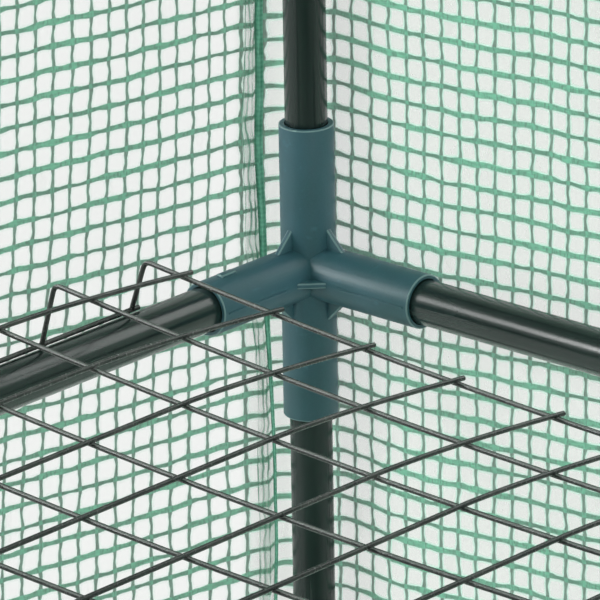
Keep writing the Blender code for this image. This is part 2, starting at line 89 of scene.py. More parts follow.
class Signal:
    """One output of a material's nodes, on which Python operators add Math nodes."""

    def __init__(self, tree: bpy.types.NodeTree, socket: bpy.types.NodeSocket) -> None:
        """Wrap a socket.

        Args:
            tree: node tree that the socket belongs to.
            socket: output that later nodes read.
        """
        self.tree = tree
        self.socket = socket

    def math(
        self, operation: str, *others: "Signal | float", first: "Signal | float | None" = None
    ) -> "Signal":
        """Add one Math node.

        Args:
            operation: the node's operation.
            others: what follows the first operand.
            first: first operand, this signal where None.

        Returns:
            The node's result.
        """
        node = self.tree.nodes.new("ShaderNodeMath")
        node.operation = operation
        operands = (self if first is None else first, *others)
        for socket, value in zip(node.inputs, operands):
            feed(self.tree, socket, value)
        return Signal(self.tree, node.outputs[0])

    def __add__(self, other: "Signal | float") -> "Signal":
        """Add."""
        return self.math("ADD", other)

    __radd__ = __add__

    def __sub__(self, other: "Signal | float") -> "Signal":
        """Subtract."""
        return self.math("SUBTRACT", other)

    def __rsub__(self, other: float) -> "Signal":
        """Subtract this from a number."""
        return self.math("SUBTRACT", self, first=other)

    def __mul__(self, other: "Signal | float") -> "Signal":
        """Multiply."""
        return self.math("MULTIPLY", other)

    __rmul__ = __mul__

    def __truediv__(self, other: "Signal | float") -> "Signal":
        """Divide."""
        return self.math("DIVIDE", other)

    def lower(self, other: "Signal | float") -> "Signal":
        """Give the lower of two values."""
        return self.math("MINIMUM", other)

    def higher(self, other: "Signal | float") -> "Signal":
        """Give the higher of two values."""
        return self.math("MAXIMUM", other)

    def cosine(self) -> "Signal":
        """Give the cosine."""
        return self.math("COSINE")

    def from_line(self) -> "Signal":
        """Give the distance to the nearest whole number."""
        return self.math("PINGPONG", 0.5)

    def whole(self) -> "Signal":
        """Give the nearest whole number."""
        return self.math("ROUND")

    def step(self, low: float, high: float) -> "Signal":
        """Rise smoothly from 0 to 1 between two values.

        Args:
            low: value at which the result is 0.
            high: value at which the result is 1, which may be the smaller of the two.

        Returns:
            The smoothed step.
        """
        node = self.tree.nodes.new("ShaderNodeMapRange")
        node.interpolation_type = "SMOOTHSTEP"
        feed(self.tree, node.inputs["Value"], self)
        span = (low, high, 0.0, 1.0) if low < high else (high, low, 1.0, 0.0)
        for name, value in zip(("From Min", "From Max", "To Min", "To Max"), span):
            node.inputs[name].default_value = value
        return Signal(self.tree, node.outputs[0])


def feed(tree: bpy.types.NodeTree, socket: bpy.types.NodeSocket, value: Any) -> None:
    """Link a signal to a socket, or set a constant on it.

    Args:
        tree: node tree of the socket.
        socket: input to fill.
        value: a signal, a number, a colour of three numbers or a vector.
    """
    if isinstance(value, Signal):
        tree.links.new(value.socket, socket)
    elif socket.type == "RGBA" and len(value) == 3:
        socket.default_value = (*value, 1.0)
    else:
        socket.default_value = value


class Surface:
    """One material, built node by node round its Principled shader."""

    def __init__(self, name: str) -> None:
        """Start a material.

        Args:
            name: the material's name.
        """
        self.material = bpy.data.materials.new(name)
        self.material.use_nodes = True
        self.tree = self.material.node_tree
        self.shader = self.tree.nodes["Principled BSDF"]

    def node(self, kind: str, output: int | str = 0, settings: dict | None = None, **inputs: Any) -> Signal:
        """Add a node.

        Args:
            kind: node type without its ShaderNode prefix.
            output: which of its outputs to read.
            settings: attributes set before its sockets are filled.
            inputs: values by socket name, with _ for a space or before a socket's number.

        Returns:
            The chosen output.
        """
        made = self.tree.nodes.new(f"ShaderNode{kind}")
        for key, value in (settings or {}).items():
            setattr(made, key, value)
        for key, value in inputs.items():
            names = key.replace("_", " ")
            socket = made.inputs[int(names)] if names.strip().isdigit() else made.inputs[names]
            feed(self.tree, socket, value)
        return Signal(self.tree, made.outputs[output])

    def mix(self, share: Signal | float, low: Any, high: Any) -> Signal:
        """Blend two colours.

        Args:
            share: part of the second colour.
            low: colour at 0.
            high: colour at 1.

        Returns:
            The blended colour.
        """
        return self.node("Mix", 2, {"data_type": "RGBA"}, _0=share, _6=low, _7=high)

    def place(self) -> Signal:
        """Give the point of the surface, in the piece's own axes."""
        return self.node("TexCoord", "Object")

    def cloth(self) -> tuple[Signal, Signal]:
        """Give the distance across and up the flat cloth, in metres."""
        outputs = self.node("SeparateXYZ", Vector=self.node("TexCoord", "UV")).socket.node.outputs
        return Signal(self.tree, outputs[0]), Signal(self.tree, outputs[1])

    def grain(
        self, at: Signal, scale: float, detail: float = 2.0, stretch: Sequence[float] = (1, 1, 1)
    ) -> Signal:
        """Add a noise.

        Args:
            at: coordinates that it reads.
            scale: its scale per metre.
            detail: its octaves.
            stretch: scale of the coordinates on each axis first.

        Returns:
            Values around 0.5.
        """
        moved = self.node("Mapping", Vector=at, Scale=tuple(stretch))
        return self.node("TexNoise", "Fac", Vector=moved, Scale=scale, Detail=detail)

    def bump(self, height: Signal, depth: float) -> None:
        """Raise the surface by a height from 0 to 1 times a depth in metres."""
        normal = self.node("Bump", "Normal", Strength=1.0, Distance=depth, Height=height)
        feed(self.tree, self.shader.inputs["Normal"], normal)

    def dress(self, **inputs: Any) -> bpy.types.Material:
        """Fill the shader's sockets.

        Args:
            inputs: values by socket name, with _ for a space.

        Returns:
            The material.
        """
        for key, value in inputs.items():
            feed(self.tree, self.shader.inputs[key.replace("_", " ")], value)
        return self.material


Colour = tuple[float, float, float]


def shade(colour: Colour, share: float) -> list[float]:
    """Give a colour made lighter or darker."""
    return [part * share for part in colour]


@dataclass(frozen=True)
class Finish:
    """A named finish, whose build method makes its material."""

    name: str
    colour: Colour

    def build(self) -> bpy.types.Material:
        """Make the material once, and give the same one after that."""
        return bpy.data.materials.get(self.name) or self.make(Surface(self.name))

    def make(self, surface: Surface) -> bpy.types.Material:
        """Dress a new surface.

        Args:
            surface: the material to dress.

        Returns:
            The finished material.
        """
        return surface.dress(Base_Color=self.colour)


@dataclass(frozen=True)
class GlossPaint(Finish):
    """Stoved gloss paint on thin steel tube, with fine draw lines and rub marks along it."""

    drawn: tuple[float, float, float] = (1.0, 1.0, 1.0)
    lighter_tint: Colour = (0.050, 0.066, 0.062)

    def make(self, surface: Surface) -> bpy.types.Material:
        """Dress a new surface with paint.

        Args:
            surface: the material to dress.

        Returns:
            The finished material.
        """
        at = surface.place()
        cloud = surface.grain(at, 22, 3)
        rubs = surface.grain(at, 420, 4, self.drawn).step(0.60, 0.74)
        lines = surface.grain(at, 900, 2, self.drawn)
        tint = surface.mix(cloud.step(0.35, 0.7) * 0.5, self.colour, shade(self.colour, 1.7))
        tint = surface.mix(rubs * 0.35, tint, self.lighter_tint)
        surface.bump(lines + rubs * 0.3, 0.000016)
        rough = 0.15 + rubs * 0.22 + cloud * 0.08
        return surface.dress(Base_Color=tint, Roughness=rough, Specular_IOR_Level=0.5)


@dataclass(frozen=True)
class MouldedPlastic(Finish):
    """Satin moulded plastic, with faint flow streaks, a fine spark-eroded grain and a painted highlight on
    its rounded rims.
    """

    pale: Colour
    # pale tint of the painted highlight on the rims
    edge: Colour = (0.42, 0.60, 0.58)

    def make(self, surface: Surface) -> bpy.types.Material:
        """Dress a new surface with plastic.

        Args:
            surface: the material to dress.

        Returns:
            The finished material.
        """
        at = surface.place()
        streak = surface.grain(at, 60, 3, (1, 1, 0.25))
        cloud = surface.grain(at, 28, 2)
        grit = surface.grain(at, 1900, 2)
        scuff = surface.grain(at, 260, 5, (1, 0.3, 1)).step(0.63, 0.72)
        share = (streak * 0.3 + cloud * 0.5 + grit * 0.2).step(0.34, 0.66)
        tint = surface.mix(share, self.colour, self.pale)
        tint = surface.mix(scuff * 0.2, tint, shade(self.pale, 1.9))
        # Painted highlight: the rounded rims are tinted pale, more strongly where scuffed.
        rim = surface.node("Attribute", "Fac", {"attribute_name": RIM})
        tint = surface.mix(rim * (0.35 + scuff * 0.4), tint, self.edge)
        surface.bump(grit + streak * 0.4 + scuff * 0.3, 0.00005)
        rough = 0.37 + grit * 0.10 + scuff * 0.12
        return surface.dress(Base_Color=tint, Roughness=rough, Specular_IOR_Level=0.5)


@dataclass(frozen=True)
class CoatedWire(Finish):
    """Dark powder coat on drawn wire, with a painted highlight on its upper front side."""

    worn: Colour
    # pale grey of the painted highlight on the upper front side
    lighter_tint: Colour = (0.30, 0.31, 0.30)

    def make(self, surface: Surface) -> bpy.types.Material:
        """Dress a new surface with the coat.

        Args:
            surface: the material to dress.

        Returns:
            The finished material.
        """
        at = surface.place()
        cloud = surface.grain(at, 90, 3)
        fleck = surface.grain(at, 900, 3).step(0.6, 0.72)
        tint = surface.mix(cloud.step(0.4, 0.7), self.colour, self.worn)
        tint = surface.mix(fleck * 0.4, tint, shade(self.worn, 2))
        # Painted highlight: surfaces that face up and towards the front take a pale grey tint, standing in
        # for the light's reflection.
        facing = surface.node("NewGeometry", "Normal")
        above = surface.node("SeparateXYZ", 2, Vector=facing).step(0.50, 0.75)
        ahead = surface.node("SeparateXYZ", 1, Vector=facing).step(-0.15, -0.40)
        tint = surface.mix(above * ahead * (0.75 + fleck * 0.3), tint, self.lighter_tint)
        surface.bump(surface.grain(at, 1500, 2) + fleck * 0.5, 0.00005)
        return surface.dress(Base_Color=tint, Roughness=0.26 + fleck * 0.2)


@dataclass(frozen=True)
class ReinforcedFilm(Finish):
    """Clear film laid on a woven scrim of flat tapes, whose pattern follows the cloth."""

    warp: Colour
    weft: Colour
    cross: Colour
    halo: Colour
    pitch: tuple[float, float]
    warp_width: float
    weft_width: float
    clear: float = 0.35
    side_clear: float = 0.16
    blur: float = 0.00022
    halo_reach: float = 0.0013

    def make(self, surface: Surface) -> bpy.types.Material:
        """Dress a new surface with film and scrim.

        Args:
            surface: the material to dress.

        Returns:
            The finished material.
        """
        flat = surface.node("TexCoord", "UV")
        across, up = (place / pitch for place, pitch in zip(surface.cloth(), self.pitch))
        across += (surface.grain(flat, 26, 1) - 0.5) * 0.14
        across += (surface.grain(flat, 105, 1, (1, 1.4, 1)) - 0.5) * 0.24
        up += (surface.grain(flat, 31, 1, (1.3, 0.7, 1)) - 0.5) * 0.14
        up += (surface.grain(flat, 95, 1, (1.2, 1, 1)) - 0.5) * 0.16
        warp_gap = across.from_line() * self.pitch[0]
        weft_gap = up.from_line() * self.pitch[1]
        near_weft = (up * (2 * math.pi)).cosine()
        near_warp = (across * (2 * math.pi)).cosine()
        uneven = surface.grain(flat, 150, 2) - 0.5
        row = surface.node("CombineXYZ", X=across * 0.33, Y=up.whole() * 7.3, Z=0.0)
        turned = surface.grain(row, 1.0, 1).step(0.34, 0.62)
        half_warp = self.warp_width * (0.44 + 0.10 * near_weft + uneven * 0.30)
        half_weft = self.weft_width * (0.33 + 0.20 * turned + 0.05 * near_warp + uneven * 0.30)
        in_warp = ((half_warp - warp_gap) / self.blur).step(-1, 1)
        in_weft = ((half_weft - weft_gap) / self.blur).step(-1, 1)
        # Painted glow: within halo_reach of a strand the film is tinted bright mint and made less clear,
        # standing in for light the backlit strands scatter into the film.
        near_one = (half_warp + self.halo_reach - warp_gap) / self.halo_reach
        near = near_one.higher((half_weft + self.halo_reach - weft_gap) / self.halo_reach).step(0, 1)
        fleck = surface.grain(flat, 640, 3, (1.7, 0.5, 1)).step(0.50, 0.64)
        fibre = surface.grain(flat, 480, 3, (0.4, 2.4, 1)).step(0.3, 0.7)
        twist = surface.grain(flat, 480, 3, (2.4, 0.4, 1)).step(0.3, 0.7)
        warp_tint = surface.mix(twist, shade(self.warp, 0.75), shade(self.warp, 1.25))
        weft_tint = surface.mix(fibre, shade(self.weft, 0.80), shade(self.weft, 1.20))
        weft_tint = surface.mix(turned, shade(self.weft, 0.5), weft_tint)
        weft_tint = surface.mix(in_warp * 0.6, weft_tint, self.cross)
        weft_tint = surface.mix(fleck * 0.6, weft_tint, shade(self.weft, 0.42))
        haze = surface.grain(flat, 14, 3) - 0.5
        crease = surface.grain(flat, 70, 4, (1.6, 0.5, 1))
        tint = surface.mix(near, self.colour, self.halo)
        tint = surface.mix(in_warp, tint, warp_tint)
        tint = surface.mix(in_weft, tint, weft_tint)
        strand = in_warp.higher(in_weft)
        side = self.side_clear + (self.clear - self.side_clear) * (across * self.pitch[0]).step(-0.004, 0.004)
        clear = side + haze * 0.10 + crease.step(0.6, 0.8) * 0.10 + near * 0.12
        alpha = clear + (0.91 - clear) * strand
        surface.bump(strand * 0.7 + crease * 0.8 + near * 0.2, 0.0003)
        rough = 0.24 + strand * 0.30 + haze * 0.1
        return surface.dress(Base_Color=tint, Alpha=alpha, Roughness=rough, Specular_IOR_Level=0.4)


@dataclass(frozen=True)
class CrinkledFilm(Finish):
    """Gathered edge of the film, where creases run along the seam and loose threads curl, with painted shade
    in the creases.
    """

    crease: Colour
    thread: Colour
    spacing: float = 0.0024
    thread_half: float = 0.00022

    def make(self, surface: Surface) -> bpy.types.Material:
        """Dress a new surface with creases and threads.

        Args:
            surface: the material to dress.

        Returns:
            The finished material.
        """
        flat = surface.node("TexCoord", "UV")
        across, _ = surface.cloth()
        folds = surface.grain(flat, 520, 3, (1, 0.05, 1)).step(0.40, 0.62)
        curl = (surface.grain(flat, 90, 2, (0.3, 1, 1)) - 0.5) * 0.0030
        gap = ((across + curl) / self.spacing).from_line() * self.spacing
        line = (gap / self.thread_half).step(1.6, 0.6)
        # Painted shade: between the folds the film takes the darker crease colour.
        tint = surface.mix(folds, self.crease, self.colour)
        tint = surface.mix(line, tint, self.thread)
        surface.bump(folds + line * 0.5, 0.0004)
        return surface.dress(Base_Color=tint, Alpha=0.16 + folds * 0.34 + line * 0.40, Roughness=0.3)


@dataclass(frozen=True)
class WovenTape(Finish):
    """Narrow woven tape or a folded seam, with a fine rib along it and painted shade past its fold line."""

    pale: Colour
    rib: float = 1400.0
    fold: float = 1.0

    def make(self, surface: Surface) -> bpy.types.Material:
        """Dress a new surface with the weave.

        Args:
            surface: the material to dress.

        Returns:
            The finished material.
        """
        across, up = surface.cloth()
        ribs = (across * (self.rib * math.pi)).cosine() * 0.5 + 0.5
        picks = (up * (self.rib * 0.8 * math.pi)).cosine() * 0.5 + 0.5
        wear = surface.grain(surface.place(), 160, 3)
        share = ribs * 0.30 + picks * 0.15 + wear - 0.35
        tint = surface.mix(share.higher(0).lower(1), self.colour, self.pale)
        # Painted shade: past the fold line the tape is darkened, where it turns round the seam's edge.
        folded = across.step(self.fold, self.fold + 0.0003) * 0.75
        tint = surface.mix(folded, tint, shade(self.colour, 0.55))
        surface.bump(ribs * 0.6 + picks * 0.4 + wear * 0.4, 0.00022)
        return surface.dress(Base_Color=tint, Roughness=0.55 + wear * 0.2)


@dataclass(frozen=True)
class PlatedMetal(Finish):
    """Plated zinc of the zip's slider and pull, with handling marks."""

    def make(self, surface: Surface) -> bpy.types.Material:
        """Dress a new surface with plating.

        Args:
            surface: the material to dress.

        Returns:
            The finished material.
        """
        at = surface.place()
        marks = surface.grain(at, 700, 4, (1, 1, 0.2))
        tint = surface.mix(marks.step(0.4, 0.75), self.colour, shade(self.colour, 0.7))
        surface.bump(marks, 0.00004)
        return surface.dress(Base_Color=tint, Roughness=0.22 + marks * 0.2, Metallic=1.0)


STEEL_TINT: Colour = (0.010, 0.020, 0.018)


class Finishes:
    """Every finish of this greenhouse."""

    STEEL_ACROSS = GlossPaint("gloss_paint_across", STEEL_TINT, drawn=(0.03, 1.0, 1.0))
    STEEL_DEEP = GlossPaint("gloss_paint_deep", STEEL_TINT, drawn=(1.0, 0.03, 1.0))
    STEEL_UP = GlossPaint("gloss_paint_up", STEEL_TINT, drawn=(1.0, 1.0, 0.03))
    PLASTIC = MouldedPlastic("teal_moulded_plastic", (0.029, 0.094, 0.106), (0.048, 0.126, 0.162))
    WIRE = CoatedWire("dark_coated_wire", (0.020, 0.023, 0.022), (0.055, 0.057, 0.054))
    FILM = ReinforcedFilm(
        "reinforced_film",
        (0.60, 0.68, 0.58),
        warp=(0.155, 0.30, 0.225),
        weft=(0.145, 0.53, 0.34),
        cross=(0.155, 0.62, 0.40),
        # bright mint of the painted glow round each strand
        halo=(0.22, 0.95, 0.62),
        pitch=(0.0080, 0.0086),
        warp_width=0.0016,
        weft_width=0.0021,
    )
    # crinkled film: its colour, the painted shade in its creases, and its threads
    GATHER = CrinkledFilm("crinkled_film", (0.54, 0.78, 0.66), (0.21, 0.40, 0.31), (0.13, 0.42, 0.28))
    SEAM = WovenTape("green_seam_binding", (0.06, 0.30, 0.19), (0.34, 0.80, 0.60), fold=0.0022)
    HEM = WovenTape("green_hem_binding", (0.030, 0.15, 0.095), (0.10, 0.32, 0.22))
    TAPE = WovenTape("green_zip_tape", (0.020, 0.095, 0.062), (0.05, 0.20, 0.13), rib=2600.0)
    COIL = MouldedPlastic("green_zip_coil", (0.02, 0.09, 0.06), (0.03, 0.13, 0.09))
    METAL = PlatedMetal("plated_zip_metal", (0.56, 0.56, 0.55))


# Shape tools


def smooth(mesh: bpy.types.Mesh, angle: float = SMOOTH_ANGLE) -> bpy.types.Mesh:
    """Shade a mesh smooth except over sharp edges.

    Args:
        mesh: the mesh.
        angle: angle from which an edge is sharp.

    Returns:
        The same mesh.
    """
    mesh.shade_smooth()
    mesh.set_sharp_from_angle(angle=angle)
    return mesh


def weld(shape: bmesh.types.BMesh) -> None:
    """Merge vertices that meet, and point the faces outwards."""
    bmesh.ops.remove_doubles(shape, verts=shape.verts, dist=WELD_DISTANCE)
    bmesh.ops.recalc_face_normals(shape, faces=shape.faces)


def upright_to(way: Vector) -> Matrix:
    """Give the turn that lays the upright axis along a direction."""
    return way.to_track_quat("Z", "Y").to_matrix().to_4x4()


class Piece:
    """A mesh under construction, which becomes one object of the scene."""

    def __init__(self, name: str) -> None:
        """Start an empty piece.

        Args:
            name: name of its object.
        """
        self.name = name
        self.shape = bmesh.new()

    def rod(
        self, start: Vector, end: Vector, radius: float, sides: int, end_radius: float | None = None
    ) -> None:
        """Add a closed round bar between two points.

        Args:
            start: middle of its first end.
            end: middle of its last end.
            radius: its radius at the start.
            sides: number of its sides.
            end_radius: its radius at the end, the same where None.
        """
        run = end - start
        bmesh.ops.create_cone(
            self.shape, cap_ends=True, segments=sides, radius1=radius,
            radius2=radius if end_radius is None else end_radius,
            depth=run.length, matrix=Matrix.Translation((start + end) / 2) @ upright_to(run),
        )

    def box(self, middle: Vector, size: Sequence[float], turn: Matrix, edge: float, rim: bool) -> None:
        """Add a box with rounded edges.

        Args:
            middle: its middle.
            size: its three sides.
            turn: its turn.
            edge: width of the bevel on its edges.
            rim: whether the bevel counts as a rim.
        """
        place = Matrix.Translation(middle) @ turn.to_4x4() @ Matrix.Diagonal((*size, 1.0))
        made = bmesh.ops.create_cube(self.shape, size=1.0, matrix=place)["verts"]
        self.round_edges(list({link for vert in made for link in vert.link_edges}), edge, 2, rim)

    def square_edges(self) -> list:
        """Give the edges where faces meet at about a right angle."""
        return [edge for edge in self.shape.edges if edge.calc_face_angle(0) > SQUARE_EDGE_ANGLE]

    def round_edges(self, edges: list, width: float, segments: int, rim: bool = False) -> None:
        """Bevel edges.

        Args:
            edges: the edges.
            width: distance from each edge to its new borders.
            segments: number of facets across.
            rim: whether the new faces count as a rim.
        """
        made = bmesh.ops.bevel(
            self.shape, geom=edges, offset=width, offset_type="OFFSET", segments=segments,
            profile=0.5, affect="EDGES", material=-1, clamp_overlap=True,
        )
        for face in made["faces"]:
            face.material_index = int(rim)

    def grid(
        self,
        columns: int,
        rows: int,
        place: Callable[[float, float], Vector],
        cloth: Callable[[float, float], tuple[float, float]],
    ) -> None:
        """Add a grid, and bend it into a sheet or a strip.

        Args:
            columns: number of cells across.
            rows: number of cells up.
            place: gives a point for its shares across and up.
            cloth: gives the flat cloth's place in metres for the same shares.
        """
        layer = self.shape.loops.layers.uv.active or self.shape.loops.layers.uv.new("cloth")
        made = bmesh.ops.create_grid(self.shape, x_segments=columns, y_segments=rows, size=0.5)["verts"]
        shares = {vert: (vert.co.x + 0.5, vert.co.y + 0.5) for vert in made}
        for face in {face for vert in made for face in vert.link_faces}:
            face.smooth = True
            for loop in face.loops:
                loop[layer].uv = cloth(*shares[loop.vert])
        for vert, share in shares.items():
            vert.co = place(*share)

    def move(self, verts: Iterable, by: Vector) -> None:
        """Shift vertices."""
        bmesh.ops.translate(self.shape, verts=list(verts), vec=by)

    def pull(self, faces: list, by: Vector) -> None:
        """Pull faces out into a closed body.

        Args:
            faces: the faces, which stay as the body's floor.
            by: way and distance.
        """
        grown = bmesh.ops.extrude_face_region(self.shape, geom=faces, use_keep_orig=True)["geom"]
        self.move([item for item in grown if isinstance(item, bmesh.types.BMVert)], by)
        bmesh.ops.recalc_face_normals(self.shape, faces=self.shape.faces)

    def mesh(self) -> bpy.types.Mesh:
        """Give the finished mesh, shaded smooth except over sharp edges."""
        mesh = bpy.data.meshes.new(self.name)
        self.shape.to_mesh(mesh)
        self.shape.free()
        return smooth(mesh)

    def finish(self, body: Body, slot: Slot, look: Finish, replaces: Sequence[str] = ()) -> bpy.types.Object:
        """Put the piece in the scene.

        Args:
            body: rigid body that it rides on.
            slot: material slot of the record.
            look: its finish.
            replaces: solids that it stands for.

        Returns:
            The new object.
        """
        return settle(self.name, self.mesh(), body, slot, look, replaces)


def link(name: str, data: bpy.types.ID) -> bpy.types.Object:
    """Put a new object in the scene.

    Args:
        name: the object's name.
        data: its mesh, curve, light or camera.

    Returns:
        The new object.
    """
    made = bpy.data.objects.new(name, data)
    bpy.context.scene.collection.objects.link(made)
    return made


def settle(
    name: str, mesh: bpy.types.Mesh, body: Body, slot: Slot, look: Finish, replaces: Sequence[str] = ()
) -> bpy.types.Object:
    """Make an object of a mesh, and tie it to the frame.

    Args:
        name: name of the object.
        mesh: its mesh, in the frame's own axes.
        body: rigid body that it rides on.
        slot: material slot of the record; not used.
        look: its finish.
        replaces: solids that it stands for.

    Returns:
        The new object.
    """
    mesh.materials.clear()
    mesh.materials.append(look.build())
    made = link(name, mesh)
    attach(made, body.value)
    if replaces:
        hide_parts(*replaces)
    log.info("%s: %d faces on %s", name, len(mesh.polygons), body.value)
    return made


def mark_rims(mesh: bpy.types.Mesh) -> None:
    """Write on each face whether it rounds a rim, where the plastic's look paints a highlight.

    Args:
        mesh: mesh whose second slot marks its rims.
    """
    shape = bmesh.new()
    shape.from_mesh(mesh)
    layer = shape.faces.layers.float.new(RIM)
    for face in shape.faces:
        face[layer] = float(face.material_index == 1)
        face.material_index = 0
    shape.to_mesh(mesh)
    shape.free()


def unite(
    base: bpy.types.Mesh, additions: Sequence[bpy.types.Mesh], cuts: Sequence[bpy.types.Mesh]
) -> bpy.types.Mesh:
    """Unite shapes, and cut others from them.

    Args:
        base: mesh that the work starts from.
        additions: meshes united with it.
        cuts: meshes cut from it.

    Returns:
        The finished mesh, with its rims marked.
    """
    for mesh in (base, *additions, *cuts):
        mesh.materials.append(None)
        mesh.materials.append(None)
    body = link("body", base)
    helpers = [body]
    for operation, mesh in [("UNION", m) for m in additions] + [("DIFFERENCE", m) for m in cuts]:
        helper = link("helper", mesh)
        helpers.append(helper)
        step = body.modifiers.new(operation.title(), "BOOLEAN")
        step.operation = operation
        step.solver = "EXACT"
        step.object = helper
    graph = bpy.context.evaluated_depsgraph_get()
    result = bpy.data.meshes.new_from_object(body.evaluated_get(graph))
    mark_rims(result)
    for helper in helpers:
        bpy.data.objects.remove(helper, do_unlink=True)
    return smooth(result)


# Frame


@dataclass(frozen=True)
class Corner:
    """One corner of the frame."""

    name: str
    place: Vector
    inward_x: Vector
    inward_y: Vector


@dataclass(frozen=True)
class Layout:
    """Sizes that every sub-assembly shares."""

    half_width: float = 0.305
    half_depth: float = 0.235
    middle_y: float = 0.0004
    tiers: tuple[float, float] = (0.100, 0.450)
    eaves: float = 0.800
    ridge_rise: float = 0.130
    post_radius: float = 0.0075
    rail_radius: float = 0.0080
    hub_clearance: float = 0.0106

    @property
    def ridge(self) -> float:
        """Height of the ridge tube's axis."""
        return self.eaves + self.ridge_rise

    @property
    def slope(self) -> float:
        """Pitch of the roof, as an angle."""
        return math.atan2(self.ridge_rise, self.half_depth)

    def corners(self) -> Iterator[Corner]:
        """Yield the four corners, at ground level."""
        for depth_name, depth_side in reversed(DEPTH_SIDES):
            for width_name, width_side in WIDTH_SIDES:
                y = self.middle_y + depth_side * self.half_depth
                place = Vector((width_side * self.half_width, y, 0))
                inward_x, inward_y = Vector((-width_side, 0, 0)), Vector((0, -depth_side, 0))
                yield Corner(f"{depth_name}_{width_name}", place, inward_x, inward_y)

    def climb(self, corner: Corner) -> Vector:
        """Give the direction of a corner's rafter."""
        return (corner.inward_y * self.half_depth + UP * self.ridge_rise).normalized()

    def roof_under(self, y: float) -> float:
        """Give the height of the roof film's lower face over a point."""
        top = self.ridge + (self.hub_clearance + FIT_GAP) / math.cos(self.slope)
        return top - abs(y - self.middle_y) * math.tan(self.slope)


@dataclass
class TubeSet:
    """Painted steel tubes, each pushed into its two sockets."""

    layout: Layout
    stop: float = 0.0143
    foot_stop: float = 0.0043
    wall: float = 0.0008
    sides: int = 40
    lip: float = 0.0003

    def tube(
        self, name: str, start: Vector, end: Vector, radius: float, start_stop: float | None = None
    ) -> None:
        """Lay one tube.

        Args:
            name: the tube's solid, which the piece stands for.
            start: joint centre at its first end.
            end: joint centre at its last end.
            radius: its outer radius.
            start_stop: distance from the first joint centre to the tube, the usual one where None.
        """
        way = (end - start).normalized()
        low = start + way * (self.stop if start_stop is None else start_stop)
        high = end - way * self.stop
        piece = Piece(f"{name}_tube")
        for ring_radius in (radius, radius - self.wall):
            bmesh.ops.create_circle(piece.shape, segments=self.sides, radius=ring_radius)
        ring = bmesh.ops.bridge_loops(piece.shape, edges=piece.shape.edges)["faces"]
        piece.pull(ring, UP * (high - low).length)
        rims = [edge for edge in piece.square_edges() if edge.calc_length() < radius]
        piece.round_edges(rims, self.lip, 2)
        laid = Matrix.Translation(low) @ upright_to(way)
        bmesh.ops.transform(piece.shape, matrix=laid, verts=piece.shape.verts)
        looks = (Finishes.STEEL_ACROSS, Finishes.STEEL_DEEP, Finishes.STEEL_UP)
        look = max(zip(map(abs, way), looks), key=lambda pair: pair[0])[1]
        piece.finish(Body.FRAME, Slot.STEEL, look, [name])

    def rail(self, name: str, middle: Vector, reach: Vector) -> None:
        """Lay one of the level tubes, as far to each side of its middle as it reaches."""
        self.tube(name, middle - reach, middle + reach, self.layout.rail_radius)

    def build(self) -> None:
        """Lay every tube of the frame."""
        plan = self.layout
        levels = [0.0, *plan.tiers, plan.eaves]
        for corner in plan.corners():
            for index, label in enumerate(("leg", "middle_post", "upper_post")):
                start = corner.place + UP * levels[index]
                end = corner.place + UP * levels[index + 1]
                inset = self.foot_stop if index == 0 else None
                self.tube(f"{label}_{corner.name}", start, end, plan.post_radius, inset)
            top = Vector((corner.place.x, plan.middle_y, plan.ridge))
            self.tube(f"rafter_{corner.name}", corner.place + UP * plan.eaves, top, plan.post_radius)
        reach_x = Vector((plan.half_width, 0, 0))
        reach_y = Vector((0, plan.half_depth, 0))
        middle = Vector((0, plan.middle_y, 0))
        for number, height in enumerate(plan.tiers, start=1):
            for name, side in WIDTH_SIDES:
                self.rail(f"tier{number}_rail_{name}", middle + reach_x * side + UP * height, reach_y)
            for name, side in DEPTH_SIDES:
                self.rail(f"tier{number}_rail_{name}", middle + reach_y * side + UP * height, reach_x)
        for name, side in DEPTH_SIDES:
            self.rail(f"eaves_rail_{name}", middle + reach_y * side + UP * plan.eaves, reach_x)
        self.rail("ridge_tube", middle + UP * plan.ridge, reach_x)


